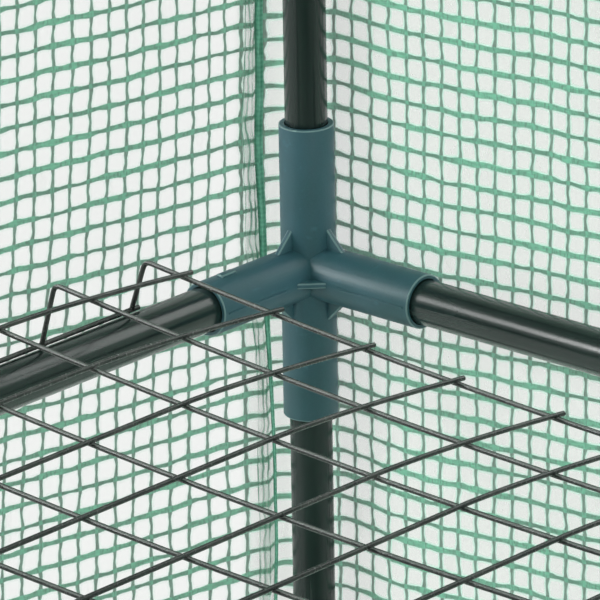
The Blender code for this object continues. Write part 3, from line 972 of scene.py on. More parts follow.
@dataclass
class ConnectorSet:
    """Moulded connectors, whose sockets meet in one body stiffened by webs."""

    layout: Layout
    radius: float = 0.0097
    hub_radius: float = 0.0103
    reach: float = 0.054
    stop: float = 0.014
    bore_past: float = 0.01
    web_reach: float = 0.0264
    web: float = 0.002
    sides: int = 48
    edge: float = 0.00045
    mark_place: float = 0.0425
    mark_size: tuple[float, float, float] = (0.0075, 0.0032, 0.0014)
    mark_edge: float = 0.0005
    mark_proud: float = 0.0001
    parting_size: tuple[float, float] = (0.0009, 0.0007)
    parting_edge: float = 0.0002
    parting_stop: float = 0.002

    def rod(self, start: Vector, end: Vector, radius: float, rimmed: bool = False) -> bpy.types.Mesh:
        """Give one round bar, of a socket or a bore.

        Args:
            start: middle of its first end.
            end: middle of its last end.
            radius: its radius.
            rimmed: whether its ends are rounded.

        Returns:
            The bar's mesh.
        """
        piece = Piece("rod")
        piece.rod(start, end, radius, self.sides)
        if rimmed:
            piece.round_edges(piece.square_edges(), self.edge, 3, rim=True)
        return piece.mesh()

    def web_mesh(self, outline: Sequence[Vector]) -> bpy.types.Mesh:
        """Give a stiffening plate between sockets.

        Args:
            outline: directions of its three corners from the joint's centre.

        Returns:
            The plate's mesh.
        """
        piece = Piece("web")
        face = piece.shape.faces.new([piece.shape.verts.new(way * self.web_reach) for way in outline])
        face.normal_update()
        rise = face.normal * self.web
        piece.move(piece.shape.verts, -rise / 2)
        piece.pull([face], rise)
        piece.round_edges(list(piece.shape.edges), self.edge, 2, rim=True)
        return piece.mesh()

    def raised(self, way: Vector, side: Vector, fine: bool) -> bpy.types.Mesh:
        """Give the small rectangle at a socket's mouth, or the fine ridge of the mould's parting.

        Args:
            way: direction of the socket.
            side: direction from its axis to the raised form.
            fine: whether it is the parting's ridge.

        Returns:
            The form's mesh.
        """
        if fine:
            start, end = self.web_reach * 0.85, self.reach - self.parting_stop
            along, out = (start + end) / 2, self.radius
            size, edge = (end - start, *self.parting_size), self.parting_edge
        else:
            along, out = self.mark_place, self.radius + self.mark_proud
            size, edge = self.mark_size, self.mark_edge
        piece = Piece("raised")
        turn = Matrix((way, side.cross(way), side)).transposed()
        piece.box(way * along + side * out, size, turn, edge, rim=not fine)
        return piece.mesh()

    def mould(
        self,
        arms: Sequence[tuple[Vector, float]],
        webs: Sequence[Sequence[Vector]],
        marks: Sequence[tuple[Vector, Vector]] = (),
        partings: Sequence[tuple[Vector, Vector]] = (),
    ) -> bpy.types.Mesh:
        """Make a connector round the origin.

        Args:
            arms: direction and tube radius of each socket.
            webs: outline of each plate, as directions.
            marks: direction and side of each raised mark.
            partings: direction and side of each parting ridge.

        Returns:
            The connector's mesh.
        """
        hub = Piece("hub")
        bmesh.ops.create_icosphere(hub.shape, subdivisions=3, radius=self.hub_radius)
        solids = [self.rod(ORIGIN, way * self.reach, self.radius, rimmed=True) for way, _ in arms]
        solids += [self.web_mesh(web) for web in webs]
        solids += [self.raised(way, side, fine=False) for way, side in marks]
        solids += [self.raised(way, side, fine=True) for way, side in partings]
        past = self.reach + self.bore_past
        bores = [self.rod(way * self.stop, way * past, tube + FIT_GAP) for way, tube in arms]
        return unite(hub.mesh(), solids, bores)

    def put(self, name: str, mesh: bpy.types.Mesh, place: Vector) -> None:
        """Set a copy of a connector at a joint.

        Args:
            name: the connector's solid, which the piece stands for.
            mesh: the connector.
            place: the joint's centre.
        """
        copy = mesh.copy()
        copy.transform(Matrix.Translation(place))
        settle(f"{name}_moulding", copy, Body.FRAME, Slot.PLASTIC, Finishes.PLASTIC, [name])

    def build(self) -> None:
        """Mould every connector of the frame."""
        plan = self.layout
        rail, post = plan.rail_radius, plan.post_radius
        for corner in plan.corners():
            x, y = corner.inward_x, corner.inward_y
            arms = [(UP, post), (-UP, post), (x, rail), (y, rail)]
            webs = [(UP, x, -UP), (UP, y, -UP), (ORIGIN, x, y)]
            tier = self.mould(arms, webs, [(y, UP)], [(x, y), (y, x)])
            for number, height in enumerate(plan.tiers, start=1):
                self.put(f"tier{number}_connector_{corner.name}", tier, corner.place + UP * height)
            climb = plan.climb(corner)
            arms = [(-UP, post), (x, rail), (climb, post)]
            webs = [(ORIGIN, -UP, x), (ORIGIN, x, climb), (ORIGIN, -UP, climb)]
            self.put(f"eaves_connector_{corner.name}", self.mould(arms, webs), corner.place + UP * plan.eaves)
        falls = [Vector((0, side * plan.half_depth, -plan.ridge_rise)).normalized() for side in (-1, 1)]
        for name, side in WIDTH_SIDES:
            x = Vector((-side, 0, 0))
            arms = [(x, rail), (falls[0], post), (falls[1], post)]
            webs = [(ORIGIN, x, falls[0]), (ORIGIN, x, falls[1])]
            place = Vector((side * plan.half_width, plan.middle_y, plan.ridge))
            self.put(f"ridge_connector_{name}", self.mould(arms, webs), place)


@dataclass
class FootSet:
    """Push-on caps under the four legs, ribbed round the side."""

    layout: Layout
    radius: float = 0.0105
    height: float = 0.022
    base: float = 0.004
    toe: float = 0.0015
    low_band: float = 0.0060
    top_band: float = 0.0031
    groove: float = 0.0004
    lip: float = 0.0003
    sides: int = 48

    def profile(self) -> list[tuple[float, float]]:
        """Give half the cap's section, from the middle of its sole round to the middle of its floor."""
        radius, height, groove = self.radius, self.height, self.radius - self.groove
        inner = self.layout.post_radius + FIT_GAP
        return [
            (0, 0), (radius - self.toe, 0), (radius, self.toe), (radius, self.low_band),
            (groove, self.low_band + self.groove), (groove, height - self.top_band - self.groove),
            (radius, height - self.top_band), (radius, height - self.lip),
            (radius - self.lip, height), (inner, height), (inner, self.base), (0, self.base),
        ]

    def build(self) -> None:
        """Cap every leg."""
        for corner in self.layout.corners():
            piece = Piece(f"foot_{corner.name}_cap")
            shape = piece.shape
            verts = [shape.verts.new((across, 0, up)) for across, up in self.profile()]
            edges = [shape.edges.new(pair) for pair in zip(verts, verts[1:])]
            bmesh.ops.spin(
                shape, geom=[*verts, *edges], cent=ORIGIN, axis=UP, angle=2 * math.pi,
                steps=self.sides, use_merge=True,
            )
            weld(shape)
            piece.move(shape.verts, corner.place)
            piece.finish(Body.FRAME, Slot.PLASTIC, Finishes.PLASTIC, [f"foot_{corner.name}"])


@dataclass
class WireShelf:
    """Welded shelf of long sagging wires, bent into legs, under cross wires that crown over them."""

    layout: Layout
    radius: float = 0.0009
    long_count: int = 8
    long_pitch: float = 0.0446
    setback: float = 0.0875
    cross_count: int = 15
    stub: float = 0.0035
    inset: float = 0.019
    strays: tuple[float, ...] = (0.0007, -0.0006, -0.0014, -0.0005, -0.0034)
    deck: float = 0.028
    sag: float = 0.0155
    crown: float = 0.0062
    crown_rows: int = 2
    crown_power: float = 1.5
    leg_out: float = 0.003
    leg_spread: float = 0.007
    bend: float = 0.003
    bend_steps: int = 5
    spans: int = 14
    sink: float = 0.0005
    nugget: float = 1.25
    nugget_squash: tuple[float, float, float] = (1.15, 1.15, 0.75)
    sides: int = 4

    def __post_init__(self) -> None:
        """Work out the wires' places."""
        plan = self.layout
        self.foot_x = plan.half_width + self.leg_out
        self.knee = self.foot_x - self.leg_spread
        seat = plan.rail_radius + self.radius + FIT_GAP
        self.foot_z = math.sqrt(seat**2 - self.leg_out**2)
        back_y = plan.half_depth - self.setback
        self.rows = [back_y - index * self.long_pitch for index in range(self.long_count)]

    def level(self, x: float, y: float) -> float:
        """Give the height of the long wires over the rail's axis.

        Args:
            x: place along the long wires.
            y: place across them.

        Returns:
            The height, which sags in the middle and crowns from the edge rows inwards.
        """
        row = (self.rows[0] - y) / self.long_pitch
        edge = min(row, self.long_count - 1 - row) / self.crown_rows
        power = self.crown_power
        rise = power * edge if edge < 0 else 1 - (1 - min(1.0, edge)) ** power
        return self.deck + self.crown * rise - self.sag * (1 - min(1.0, abs(x) / self.knee) ** 2)

    def wires(self, name: str, runs: Sequence[Sequence[Vector]]) -> bpy.types.Mesh:
        """Make round wires with closed ends.

        Args:
            name: name of their mesh.
            runs: line of points of each wire.

        Returns:
            The mesh of them all.
        """
        curve = bpy.data.curves.new(name, "CURVE")
        curve.dimensions = "3D"
        curve.bevel_depth = self.radius
        curve.bevel_resolution = self.sides
        curve.use_fill_caps = True
        for points in runs:
            spline = curve.splines.new("POLY")
            spline.points.add(len(points) - 1)
            for slot, point in zip(spline.points, points):
                slot.co = (*point, 1.0)
        holder = link(name, curve)
        graph = bpy.context.evaluated_depsgraph_get()
        mesh = bpy.data.meshes.new_from_object(holder.evaluated_get(graph))
        bpy.data.objects.remove(holder, do_unlink=True)
        shape = bmesh.new()
        shape.from_mesh(mesh)
        weld(shape)
        shape.to_mesh(mesh)
        shape.free()
        return smooth(mesh, WIRE_SMOOTH_ANGLE)

    def long_run(self, y: float) -> list[Vector]:
        """Give one long wire from foot to foot, with its knees rounded.

        Args:
            y: its place across the shelf.

        Returns:
            Its line of points.
        """
        knee = Vector((self.knee, y, self.level(self.knee, y)))
        foot = Vector((self.foot_x, y, self.foot_z))
        half = []
        for index in range(self.spans + 1):
            x = (self.knee - self.bend) * index / self.spans
            half.append(Vector((x, y, self.level(x, y))))
        first, last = half[-1], knee + (foot - knee).normalized() * self.bend
        for index in range(1, self.bend_steps + 1):
            share = index / self.bend_steps
            half.append(first.lerp(knee, share).lerp(knee.lerp(last, share), share))
        half.append(foot)
        other = [Vector((-point.x, point.y, point.z)) for point in reversed(half[1:])]
        return other + half

    def cross_places(self) -> list[float]:
        """Give the place of each cross wire, none quite at its even spacing."""
        first_x = self.knee - self.inset
        pitch = 2 * first_x / (self.cross_count - 1)
        places = [-first_x + index * pitch for index in range(self.cross_count)]
        for index, stray in enumerate(self.strays):
            places[index] -= stray
            places[-1 - index] += stray
        return places

    def build_one(self, number: int, height: float) -> None:
        """Make one shelf.

        Args:
            number: number of its tier.
            height: height of the rails' axes.
        """
        stack = 2 * self.radius - self.sink
        runs = [self.long_run(y) for y in self.rows]
        ends = (self.rows[0] + self.stub, self.rows[-1] - self.stub)
        steps = 4 * self.long_count
        nuggets = Piece(f"shelf_{number}_welds")
        offset = Vector((0, self.layout.middle_y, height))
        squash = Matrix.Diagonal((*self.nugget_squash, 1.0))
        size = self.radius * self.nugget
        for x in self.cross_places():
            points = []
            for step in range(steps + 1):
                y = ends[0] + (ends[1] - ends[0]) * step / steps
                points.append(Vector((x, y, self.level(x, y) + stack)))
            runs.append(points)
            for y in self.rows:
                spot = Vector((x, y, self.level(x, y) + stack / 2)) + offset
                place = Matrix.Translation(spot) @ squash
                bmesh.ops.create_icosphere(nuggets.shape, subdivisions=1, radius=size, matrix=place)
        for side in (-1, 1):
            runs.append([Vector((side * self.foot_x, y, self.foot_z)) for y in ends])
        mesh = self.wires(f"shelf_{number}_wires", runs)
        mesh.transform(Matrix.Translation(offset))
        body = (Body.SHELF_1, Body.SHELF_2)[number - 1]
        settle(f"shelf_{number}_wires", mesh, body, Slot.WIRE, Finishes.WIRE, [f"shelf_{number}"])
        nuggets.finish(body, Slot.WIRE, Finishes.WIRE)

    def build(self) -> None:
        """Make the shelf of each tier."""
        for number, height in enumerate(self.layout.tiers, start=1):
            self.build_one(number, height)


# Cover


@dataclass(frozen=True)
class PlanPoint:
    """A point of the walls' line in plan."""

    spot: Vector
    outward: Vector
    along: float

    @property
    def ways(self) -> Vector:
        """Directions, as signs, from the middle of the greenhouse to the point."""
        return Vector((math.copysign(1, self.spot.x), math.copysign(1, self.spot.y)))


class WallPlan:
    """The walls' line in plan, from the left zip round the back to the right zip."""

    SPACING = 0.006
    ARC_STEPS = 20
    FRONT_STRIPS = (0, 4)
    SIDE_WALLS = (1, 3)

    def __init__(self, layout: Layout, half_x: float, half_y: float, zip_x: float, radius: float) -> None:
        """Draw the line.

        Args:
            layout: shared sizes.
            half_x: distance from the middle to a side wall.
            half_y: distance from the middle to the front and back walls.
            zip_x: distance from the middle to a zip.
            radius: radius of the corners.
        """
        self.points: list[PlanPoint] = []
        corners = [Vector((x * half_x, y * half_y)) for x, y in ((-1, -1), (-1, 1), (1, 1), (1, -1))]
        bends = [Vector((-zip_x, -half_y)), *corners, Vector((zip_x, -half_y))]
        legs = list(zip(bends, bends[1:]))
        spots: list[tuple[Vector, Vector]] = []
        for index, (start, end) in enumerate(legs):
            way = (end - start).normalized()
            out = Vector((-way.y, way.x))
            first = start + way * (radius if index else 0.0)
            final = end - way * (radius if index < len(legs) - 1 else 0.0)
            count = max(2, round((final - first).length / self.SPACING))
            for step in range(count + 1):
                spots.append((first.lerp(final, step / count), out))
            if index < len(legs) - 1:
                centre = final - out * radius
                for step in range(1, self.ARC_STEPS):
                    angle = math.pi / 2 * step / self.ARC_STEPS
                    turned = out * math.cos(angle) + way * math.sin(angle)
                    spots.append((centre + turned * radius, turned))
        along, last = 0.0, spots[0][0]
        for spot, out in spots:
            along += (spot - last).length
            last = spot
            self.points.append(PlanPoint(Vector((spot.x, spot.y + layout.middle_y)), out, along))
        self.length = along
        shift = Vector((0, layout.middle_y))
        self.seams = [
            min(self.points, key=lambda point, corner=corner: (point.spot - corner - shift).length).along
            for corner in corners
        ]

    def from_seam(self, along: float) -> float:
        """Find the nearest corner seam.

        Args:
            along: distance along the line.

        Returns:
            The distance to it, below 0 on the side walls.
        """
        near = min(abs(along - seam) for seam in self.seams)
        wall, _ = self.wall_at(along)
        return -near if wall in self.SIDE_WALLS else near

    def wall_at(self, along: float) -> tuple[int, float]:
        """Find the wall at a point of the line.

        Args:
            along: distance along the line.

        Returns:
            The wall's number, and the share of its length there.
        """
        ends = [0.0, *self.seams, self.length]
        wall = sum(along > end for end in ends[1:-1])
        return wall, (along - ends[wall]) / (ends[wall + 1] - ends[wall])


def between(knots: Sequence[tuple[float, float]], x: float) -> float:
    """Read a value off straight runs between knots, level beyond their ends.

    Args:
        knots: places and values, in order.
        x: where to read.

    Returns:
        The value there.
    """
    if x <= knots[0][0]:
        return knots[0][1]
    for (low, start), (high, end) in zip(knots, knots[1:]):
        if x <= high:
            return start + (end - start) * (x - low) / (high - low)
    return knots[-1][1]


def wander(x: float, y: float, z: float) -> float:
    """Give a smooth noise around 0 at a place."""
    return noise.noise(Vector((x, y, z)))


# How far the weave rides up, slips along and leans beside a corner seam, by distance from it

RISE = (
    (-0.24, 0.0122), (-0.20, 0.0112), (-0.12, 0.0072), (-0.066, 0.0030), (-0.023, -0.0006),
    (-0.0005, -0.0038), (0.0005, -0.0014), (0.024, 0.0066), (0.032, 0.0086), (0.040, 0.0086),
    (0.052, 0.0077), (0.066, 0.0077), (0.083, 0.0084), (0.115, 0.0102), (0.17, 0.0122), (0.336, 0.0140),
)
SLIP = (
    (-0.24, 0.0299), (-0.0005, 0.0063), (0.0005, -0.0012), (0.003, -0.0012),
    (0.0126, -0.0046), (0.030, -0.0075), (0.040, -0.0073), (0.20, -0.0073), (0.336, 0.0),
)
LEAN = ((-0.24, 0.0), (-0.13, 0.100), (-0.06, 0.085), (0.0, 0.020))


@dataclass
class Cover:
    """Loose cover of reinforced film, sewn at the corners and eaves and bound at its hems."""

    layout: Layout
    slack: float = 0.031
    sheet: float = 0.0012
    skin: float = 0.0006
    corner_radius: float = 0.012
    hem: float = 0.012
    hold: float = 12.0
    billow: float = 0.0075
    wobble: float = 0.0009
    wobble_scale: tuple[float, float] = (45.0, 9.0)
    ripple: float = 0.0003
    ripple_by_seam: float = 0.0010
    ripple_run: float = 0.012
    ripple_scale: tuple[float, float] = (160.0, 22.0)
    ear: float = 0.0070
    ear_run: float = 0.014
    sway: float = 0.0012
    sway_from: float = 0.42
    sway_wave: float = 0.045
    sway_run: float = 0.03
    roof_slack: float = 0.0030
    roof_wave: float = 0.0007
    ridge_ease: float = 0.003
    strip: float = 0.045
    door_billow: float = 0.003
    door_fold: float = 0.0008
    door_clear: float = 0.012
    door_clear_share: float = 0.05
    lean_reach: float = 0.08
    weave_start: float = 0.0026
    seam_half: float = 0.0015
    seam_thick: float = 0.0004
    seam_shift: float = 0.0014
    seam_inset: float = 0.0026
    seam_edge_inset: float = 0.0009
    seam_wave: float = 0.0005
    seam_cells: tuple[int, int] = (6, 160)
    gather_width: float = 0.0075
    gather_lift: float = 0.0016
    gather_crimp: float = 0.0007
    gather_fray: float = 0.0006
    gather_cells: tuple[int, int] = (18, 200)
    hem_leaf: float = 0.020
    seam_leaf: float = 0.012
    binding_leaf: float = 0.011
    binding_proud: float = 0.0006
    binding_out: float = 0.0004
    binding_rows: int = 8
    fold_out: float = 0.0005
    fold_rows: int = 12
    rows: int = 90
    door_columns: int = 90
    roof_rows: int = 48
    roof_columns: int = 96
    edge_columns: int = 60

    def __post_init__(self) -> None:
        """Work out the walls' line."""
        plan = self.layout
        self.wall_x = plan.half_width + self.slack
        self.wall_y = plan.half_depth + plan.hub_clearance
        self.zip_x = self.wall_x - self.strip
        self.roof_half = self.wall_x + self.sheet
        self.door_width = 2 * (self.zip_x - FIT_GAP)
        self.door_top = self.top(plan.middle_y + self.wall_y)
        reach_x, reach_y = self.wall_x + self.skin, self.wall_y + self.skin
        self.plan = WallPlan(plan, reach_x, reach_y, self.zip_x, self.corner_radius)

    def top(self, y: float) -> float:
        """Give the height of a wall's top edge over a point."""
        plan = self.layout
        return plan.roof_under(y) - FIT_GAP / math.cos(plan.slope) - self.sheet * math.tan(plan.slope)

    def tall(self, point: PlanPoint) -> float:
        """Give the height of the film at a point of the walls' line."""
        return self.top(point.spot.y) - self.hem

    def wall_point(self, point: PlanPoint, up: float, proud: float = 0.0) -> Vector:
        """Give a point of the loose walls.

        Args:
            point: its place in plan.
            up: its share of the wall's height.
            proud: how far outside the film it lies.

        Returns:
            The point, on the film's ripples, its bulge and the folds beside a seam.
        """
        wall, share = self.plan.wall_at(point.along)
        hung = wall not in self.plan.FRONT_STRIPS
        near = abs(self.plan.from_seam(point.along))
        height = self.hem + up * self.tall(point)
        held = min(1.0, up * self.hold, (1 - up) * self.hold)
        wobble = wander(point.along * self.wobble_scale[0], height * self.wobble_scale[1], 3.1) + 0.6
        ripple = wander(point.along * self.ripple_scale[0], height * self.ripple_scale[1], 7.7) + 0.5
        depth = self.ripple + self.ripple_by_seam * math.exp(-near / self.ripple_run)
        out = self.billow * math.sin(math.pi * share) ** 2 * math.sin(math.pi * up)
        out += held * (self.wobble * wobble + depth * ripple)
        ear = point.ways.normalized() * (self.ear * math.exp(-near / self.ear_run))
        swing = math.sin((height - self.sway_from) / self.sway_wave) * math.exp(-near / self.sway_run)
        sway = point.ways * Vector((1, -1)) * (self.sway * swing)
        spot = point.spot + point.outward * (max(0.0, out) * hung + proud) + (ear + sway) * (held * hung)
        return Vector((spot.x, spot.y, height))

    def weave(self, along: float, height: float) -> tuple[float, float]:
        """Give the cloth's own coordinates at a place on the walls.

        Args:
            along: distance along the walls' line.
            height: height over the ground.

        Returns:
            The place across and up the weave, from the back left corner at the upper shelf.
        """
        near = self.plan.from_seam(along)
        height -= self.layout.tiers[1]
        lean = between(LEAN, near) * self.lean_reach * math.tanh(height / self.lean_reach)
        across = along - self.plan.seams[1] + between(SLIP, near) - lean
        return across, height - between(RISE, near) + self.weave_start

    def build_walls(self) -> None:
        """Hang the walls as one sheet from zip to zip."""
        points = self.plan.points
        last = len(points) - 1
        piece = Piece("cover_wall_film")

        def place(across: float, up: float) -> Vector:
            """Give a point of the walls."""
            return self.wall_point(points[round(across * last)], up)

        def cloth(across: float, up: float) -> tuple[float, float]:
            """Give its place on the weave."""
            point = points[round(across * last)]
            return self.weave(point.along, self.hem + up * self.tall(point))

        piece.grid(last, self.rows, place, cloth)
        area = sum(
            (b.along - a.along) * ((self.top(a.spot.y) + self.top(b.spot.y)) / 2 - self.hem)
            for a, b in zip(points, points[1:])
        )
        names = ["cover_back", "cover_left", "cover_right", "cover_front_left", "cover_front_right"]
        made = piece.finish(Body.FRAME, Slot.FILM, Finishes.FILM, names)
        flat = (self.plan.length, self.top(self.layout.middle_y) - self.hem)

    def roof_line(self) -> list[Vector]:
        """Give the roof film's section from the front eaves over the ridge to the back."""
        plan = self.layout
        eaves = self.wall_y + self.sheet
        line = []
        for index in range(self.roof_rows + 1):
            y = eaves * (2 * index / self.roof_rows - 1)
            fall = math.hypot(y, self.ridge_ease) * math.tan(plan.slope)
            flat = plan.roof_under(plan.middle_y) - fall
            flat += self.skin / math.cos(plan.slope)
            line.append(Vector((0, y + plan.middle_y, flat)))
        return line

    def build_roof(self) -> None:
        """Lay the roof as one sheet over the ridge, slightly slack between its edges."""
        line = self.roof_line()
        half = self.roof_half
        run = [0.0]
        for a, b in zip(line, line[1:]):
            run.append(run[-1] + (b - a).length)
        piece = Piece("cover_roof_film")

        def place(across: float, up: float) -> Vector:
            """Give a point of the roof.

            Args:
                across: share of its width.
                up: share of its height.

            Returns:
                The point.
            """
            spot = line[round(up * self.roof_rows)]
            x = half * (2 * across - 1)
            share = abs(2 * up - 1)
            slack = self.roof_slack * math.sin(math.pi * share) * math.sin(math.pi * across) ** 0.5
            slack -= self.roof_wave * wander(x * 14, up * 9, 0.5) * math.sin(math.pi * across)
            return Vector((x, spot.y, spot.z - max(0.0, slack)))

        def cloth(across: float, up: float) -> tuple[float, float]:
            """Give its place on the weave."""
            return half * 2 * across, run[round(up * self.roof_rows)]

        piece.grid(self.roof_columns, self.roof_rows, place, cloth)
        made = piece.finish(Body.FRAME, Slot.FILM, Finishes.FILM, ["cover_roof"])

    def door_point(self, across: float, up: float, proud: float = 0.0) -> Vector:
        """Give a point of the door film, or one off its outer face.

        Args:
            across: share of its width.
            up: share of its height.
            proud: how far outside the film it lies.

        Returns:
            The point.
        """
        out = self.door_billow * math.sin(math.pi * across) ** 2 * math.sin(math.pi * up)
        fold = max(0.0, self.door_fold * (wander(across * 7, up * 3, 1.9) + 0.4))
        out += fold * math.sin(math.pi * up) * math.sin(math.pi * across)
        y = self.layout.middle_y - self.wall_y - self.skin - out - proud
        return Vector(((across - 0.5) * self.door_width, y, self.hem + up * (self.door_top - self.hem)))

    def build_door(self) -> None:
        """Hang the door film from its top seam, with its edges bound."""
        tall = self.door_top - self.hem
        piece = Piece("door_film")
        flat = (self.door_width, tall)
        cells = (self.door_columns, self.rows)
        piece.grid(*cells, self.door_point, lambda across, up: (across * flat[0], up * flat[1]))
        made = piece.finish(Body.DOOR, Slot.FILM, Finishes.FILM, ["door_panel"])
        for name, low, leaf in (("door_hem", 0.0, self.hem_leaf), ("door_top_seam", 1.0, self.seam_leaf)):
            piece = Piece(name)

            def place(across: float, away: float, proud: float, low: float = low) -> Vector:
                """Give a point at a distance from the door's lower or upper edge."""
                return self.door_point(across, abs(low - away / tall), proud)

            self.bind(piece, self.edge_columns, leaf, place, self.door_width)
            piece.finish(Body.DOOR, Slot.TAPE, Finishes.HEM)

    def build_seams(self) -> None:
        """Bind the four corner seams, and gather the side walls' edges beside them."""
        for number, seam in enumerate(self.plan.seams, start=1):
            middle = min(self.plan.points, key=lambda point: abs(point.along - seam))
            self.bind_seam(number, middle)
            self.gather(number, middle)

    def bind_seam(self, number: int, middle: PlanPoint) -> None:
        """Lay the narrow folded binding inside a corner seam.

        Args:
            number: number of the seam.
            middle: the seam's point in plan.
        """
        diagonal = middle.ways.to_3d().normalized()
        aside = UP.cross(diagonal)
        tall = self.tall(middle)
        shift = Vector((-middle.ways.x * self.seam_shift, 0, 0))
        piece = Piece(f"corner_seam_{number}")

        def place(across: float, up: float) -> Vector:
            """Give a point of the binding.

            Args:
                across: share of its width.
                up: share of its height.

            Returns:
                The point.
            """
            height = self.hem + up * tall
            half = self.seam_half * (0.70 + 0.30 * math.tanh((height - 0.425) / 0.03))
            wave = wander(up * 30, middle.along * 50, 2.0) * self.seam_wave
            inset = self.seam_inset - self.seam_edge_inset * (abs(across - 0.5) * 2)
            off = aside * ((across - 0.5) * 2 * half + wave) - diagonal * inset
            return self.wall_point(middle, up) + off + shift

        piece.grid(*self.seam_cells, place, lambda across, up: (across * 2 * self.seam_half, up * tall))
        bmesh.ops.solidify(piece.shape, geom=piece.shape.faces, thickness=self.seam_thick)
        piece.finish(Body.FRAME, Slot.FILM, Finishes.SEAM)

    def gather(self, number: int, middle: PlanPoint) -> None:
        """Lay the crinkled seam allowance on the side wall beside a corner seam.

        Args:
            number: number of the seam.
            middle: the seam's point in plan.
        """
        tall = self.tall(middle)
        along, inward = Vector((0, -middle.ways.y, 0)), Vector((-middle.ways.x, 0, 0))
        piece = Piece(f"seam_allowance_{number}")

        def place(across: float, up: float) -> Vector:
            """Give a point of the crinkled strip.

            Args:
                across: share of its width.
                up: share of its height.

            Returns:
                The point.
            """
            height = self.hem + up * tall
            width = self.gather_width * (1 + 0.35 * wander(height * 26, number, 4.4))
            crimp = math.sin(across * 15.0 + 2.2 * wander(height * 30, number, 8.1))
            crimp *= math.sin(math.pi * min(1.0, across * 2.5) / 2)
            lift = (self.gather_lift + self.gather_crimp * crimp) * (1 - 0.5 * across)
            fray = self.gather_fray * wander(height * 140, across * 3, number)
            return self.wall_point(middle, up) + along * (across * width + fray) + inward * lift

        piece.grid(*self.gather_cells, place, lambda across, up: (across * self.gather_width, up * tall))
        piece.finish(Body.FRAME, Slot.FILM, Finishes.GATHER)

    def bind(self, piece: Piece, columns: int, tall: float, place: Callable, run: float) -> None:
        """Fold a binding over an edge, with one leaf on each side of the film.

        Args:
            piece: piece that takes the binding.
            columns: number of cells along the edge.
            tall: height of each leaf.
            place: gives a point for a share along, a distance from the edge and one off the film.
            run: length of the edge.
        """

        def folded(across: float, up: float) -> Vector:
            """Give a point of the inner leaf below half way up, and of the outer leaf above it."""
            away = abs(2 * up - 1)
            return place(across, away * tall, math.copysign(min(1.0, away * 6), up - 0.5) * self.fold_out)

        piece.grid(columns, self.fold_rows, folded, lambda across, up: (up * 2 * tall, across * run))

    def build_hem(self) -> None:
        """Bind the lower edge of the walls."""
        points = self.plan.points
        last = len(points) - 1
        span = self.top(self.wall_y) - self.hem
        piece = Piece("wall_hem")

        def place(across: float, away: float, proud: float) -> Vector:
            """Give a point at a distance from the walls' lower edge."""
            return self.wall_point(points[round(across * last)], away / span, proud)

        self.bind(piece, last, self.hem_leaf, place, self.plan.length)
        piece.finish(Body.FRAME, Slot.FILM, Finishes.HEM)

    def build_eaves(self) -> None:
        """Bind the seam between the roof and the walls, all the way round."""
        line = self.roof_line()
        half, width, slope = self.roof_half, self.binding_leaf, self.layout.slope
        proud, out = self.binding_proud, self.binding_out
        run = 0.56  # length of the gable edge on the binding's own weave
        piece = Piece("roof_binding")
        for side in (-1, 1):

            def gable(across: float, up: float, side: int = side) -> Vector:
                """Give a point of the binding over a gable.

                Args:
                    across: share of its length.
                    up: share of its width, half of it on the roof and half on the wall.
                    side: side of the gable, -1 or 1.

                Returns:
                    The point.
                """
                spot = line[round(across * self.roof_rows)]
                inset = width * abs(up - 0.5) * 2
                if up < 0.5:
                    return Vector((side * (half - inset), spot.y, spot.z + proud))
                return Vector((side * (half + out), spot.y, spot.z + proud - inset))

            def edge(across: float, up: float, side: int = side) -> Vector:
                """Give a point of the binding along the eaves, clear of the swinging door.

                Args:
                    across: share of its length.
                    up: share of its width, half of it on the roof and half on the wall.
                    side: side of the eaves, -1 or 1.

                Returns:
                    The point.
                """
                spot = line[-1 if side > 0 else 0]
                x = half * (2 * across - 1)
                inset = width * abs(up - 0.5) * 2
                if up < 0.5:
                    rise = math.sin(slope) * inset
                    return Vector((x, spot.y - side * math.cos(slope) * inset, spot.z + rise + proud))
                if side < 0 and abs(x) < self.zip_x + self.door_clear:
                    inset *= self.door_clear_share
                return Vector((x, spot.y + side * out, spot.z + proud - inset))

            rows = self.binding_rows
            piece.grid(self.roof_rows, rows, gable, lambda across, up: (up * 2 * width, across * run))
            piece.grid(self.edge_columns, rows, edge, lambda across, up: (up * 2 * width, across * 2 * half))
        bmesh.ops.recalc_face_normals(piece.shape, faces=piece.shape.faces)
        piece.finish(Body.FRAME, Slot.FILM, Finishes.HEM)

    def build(self) -> None:
        """Hang the whole cover."""
        self.build_roof()
        self.build_walls()
        self.build_door()
        self.build_seams()
        self.build_hem()
        self.build_eaves()


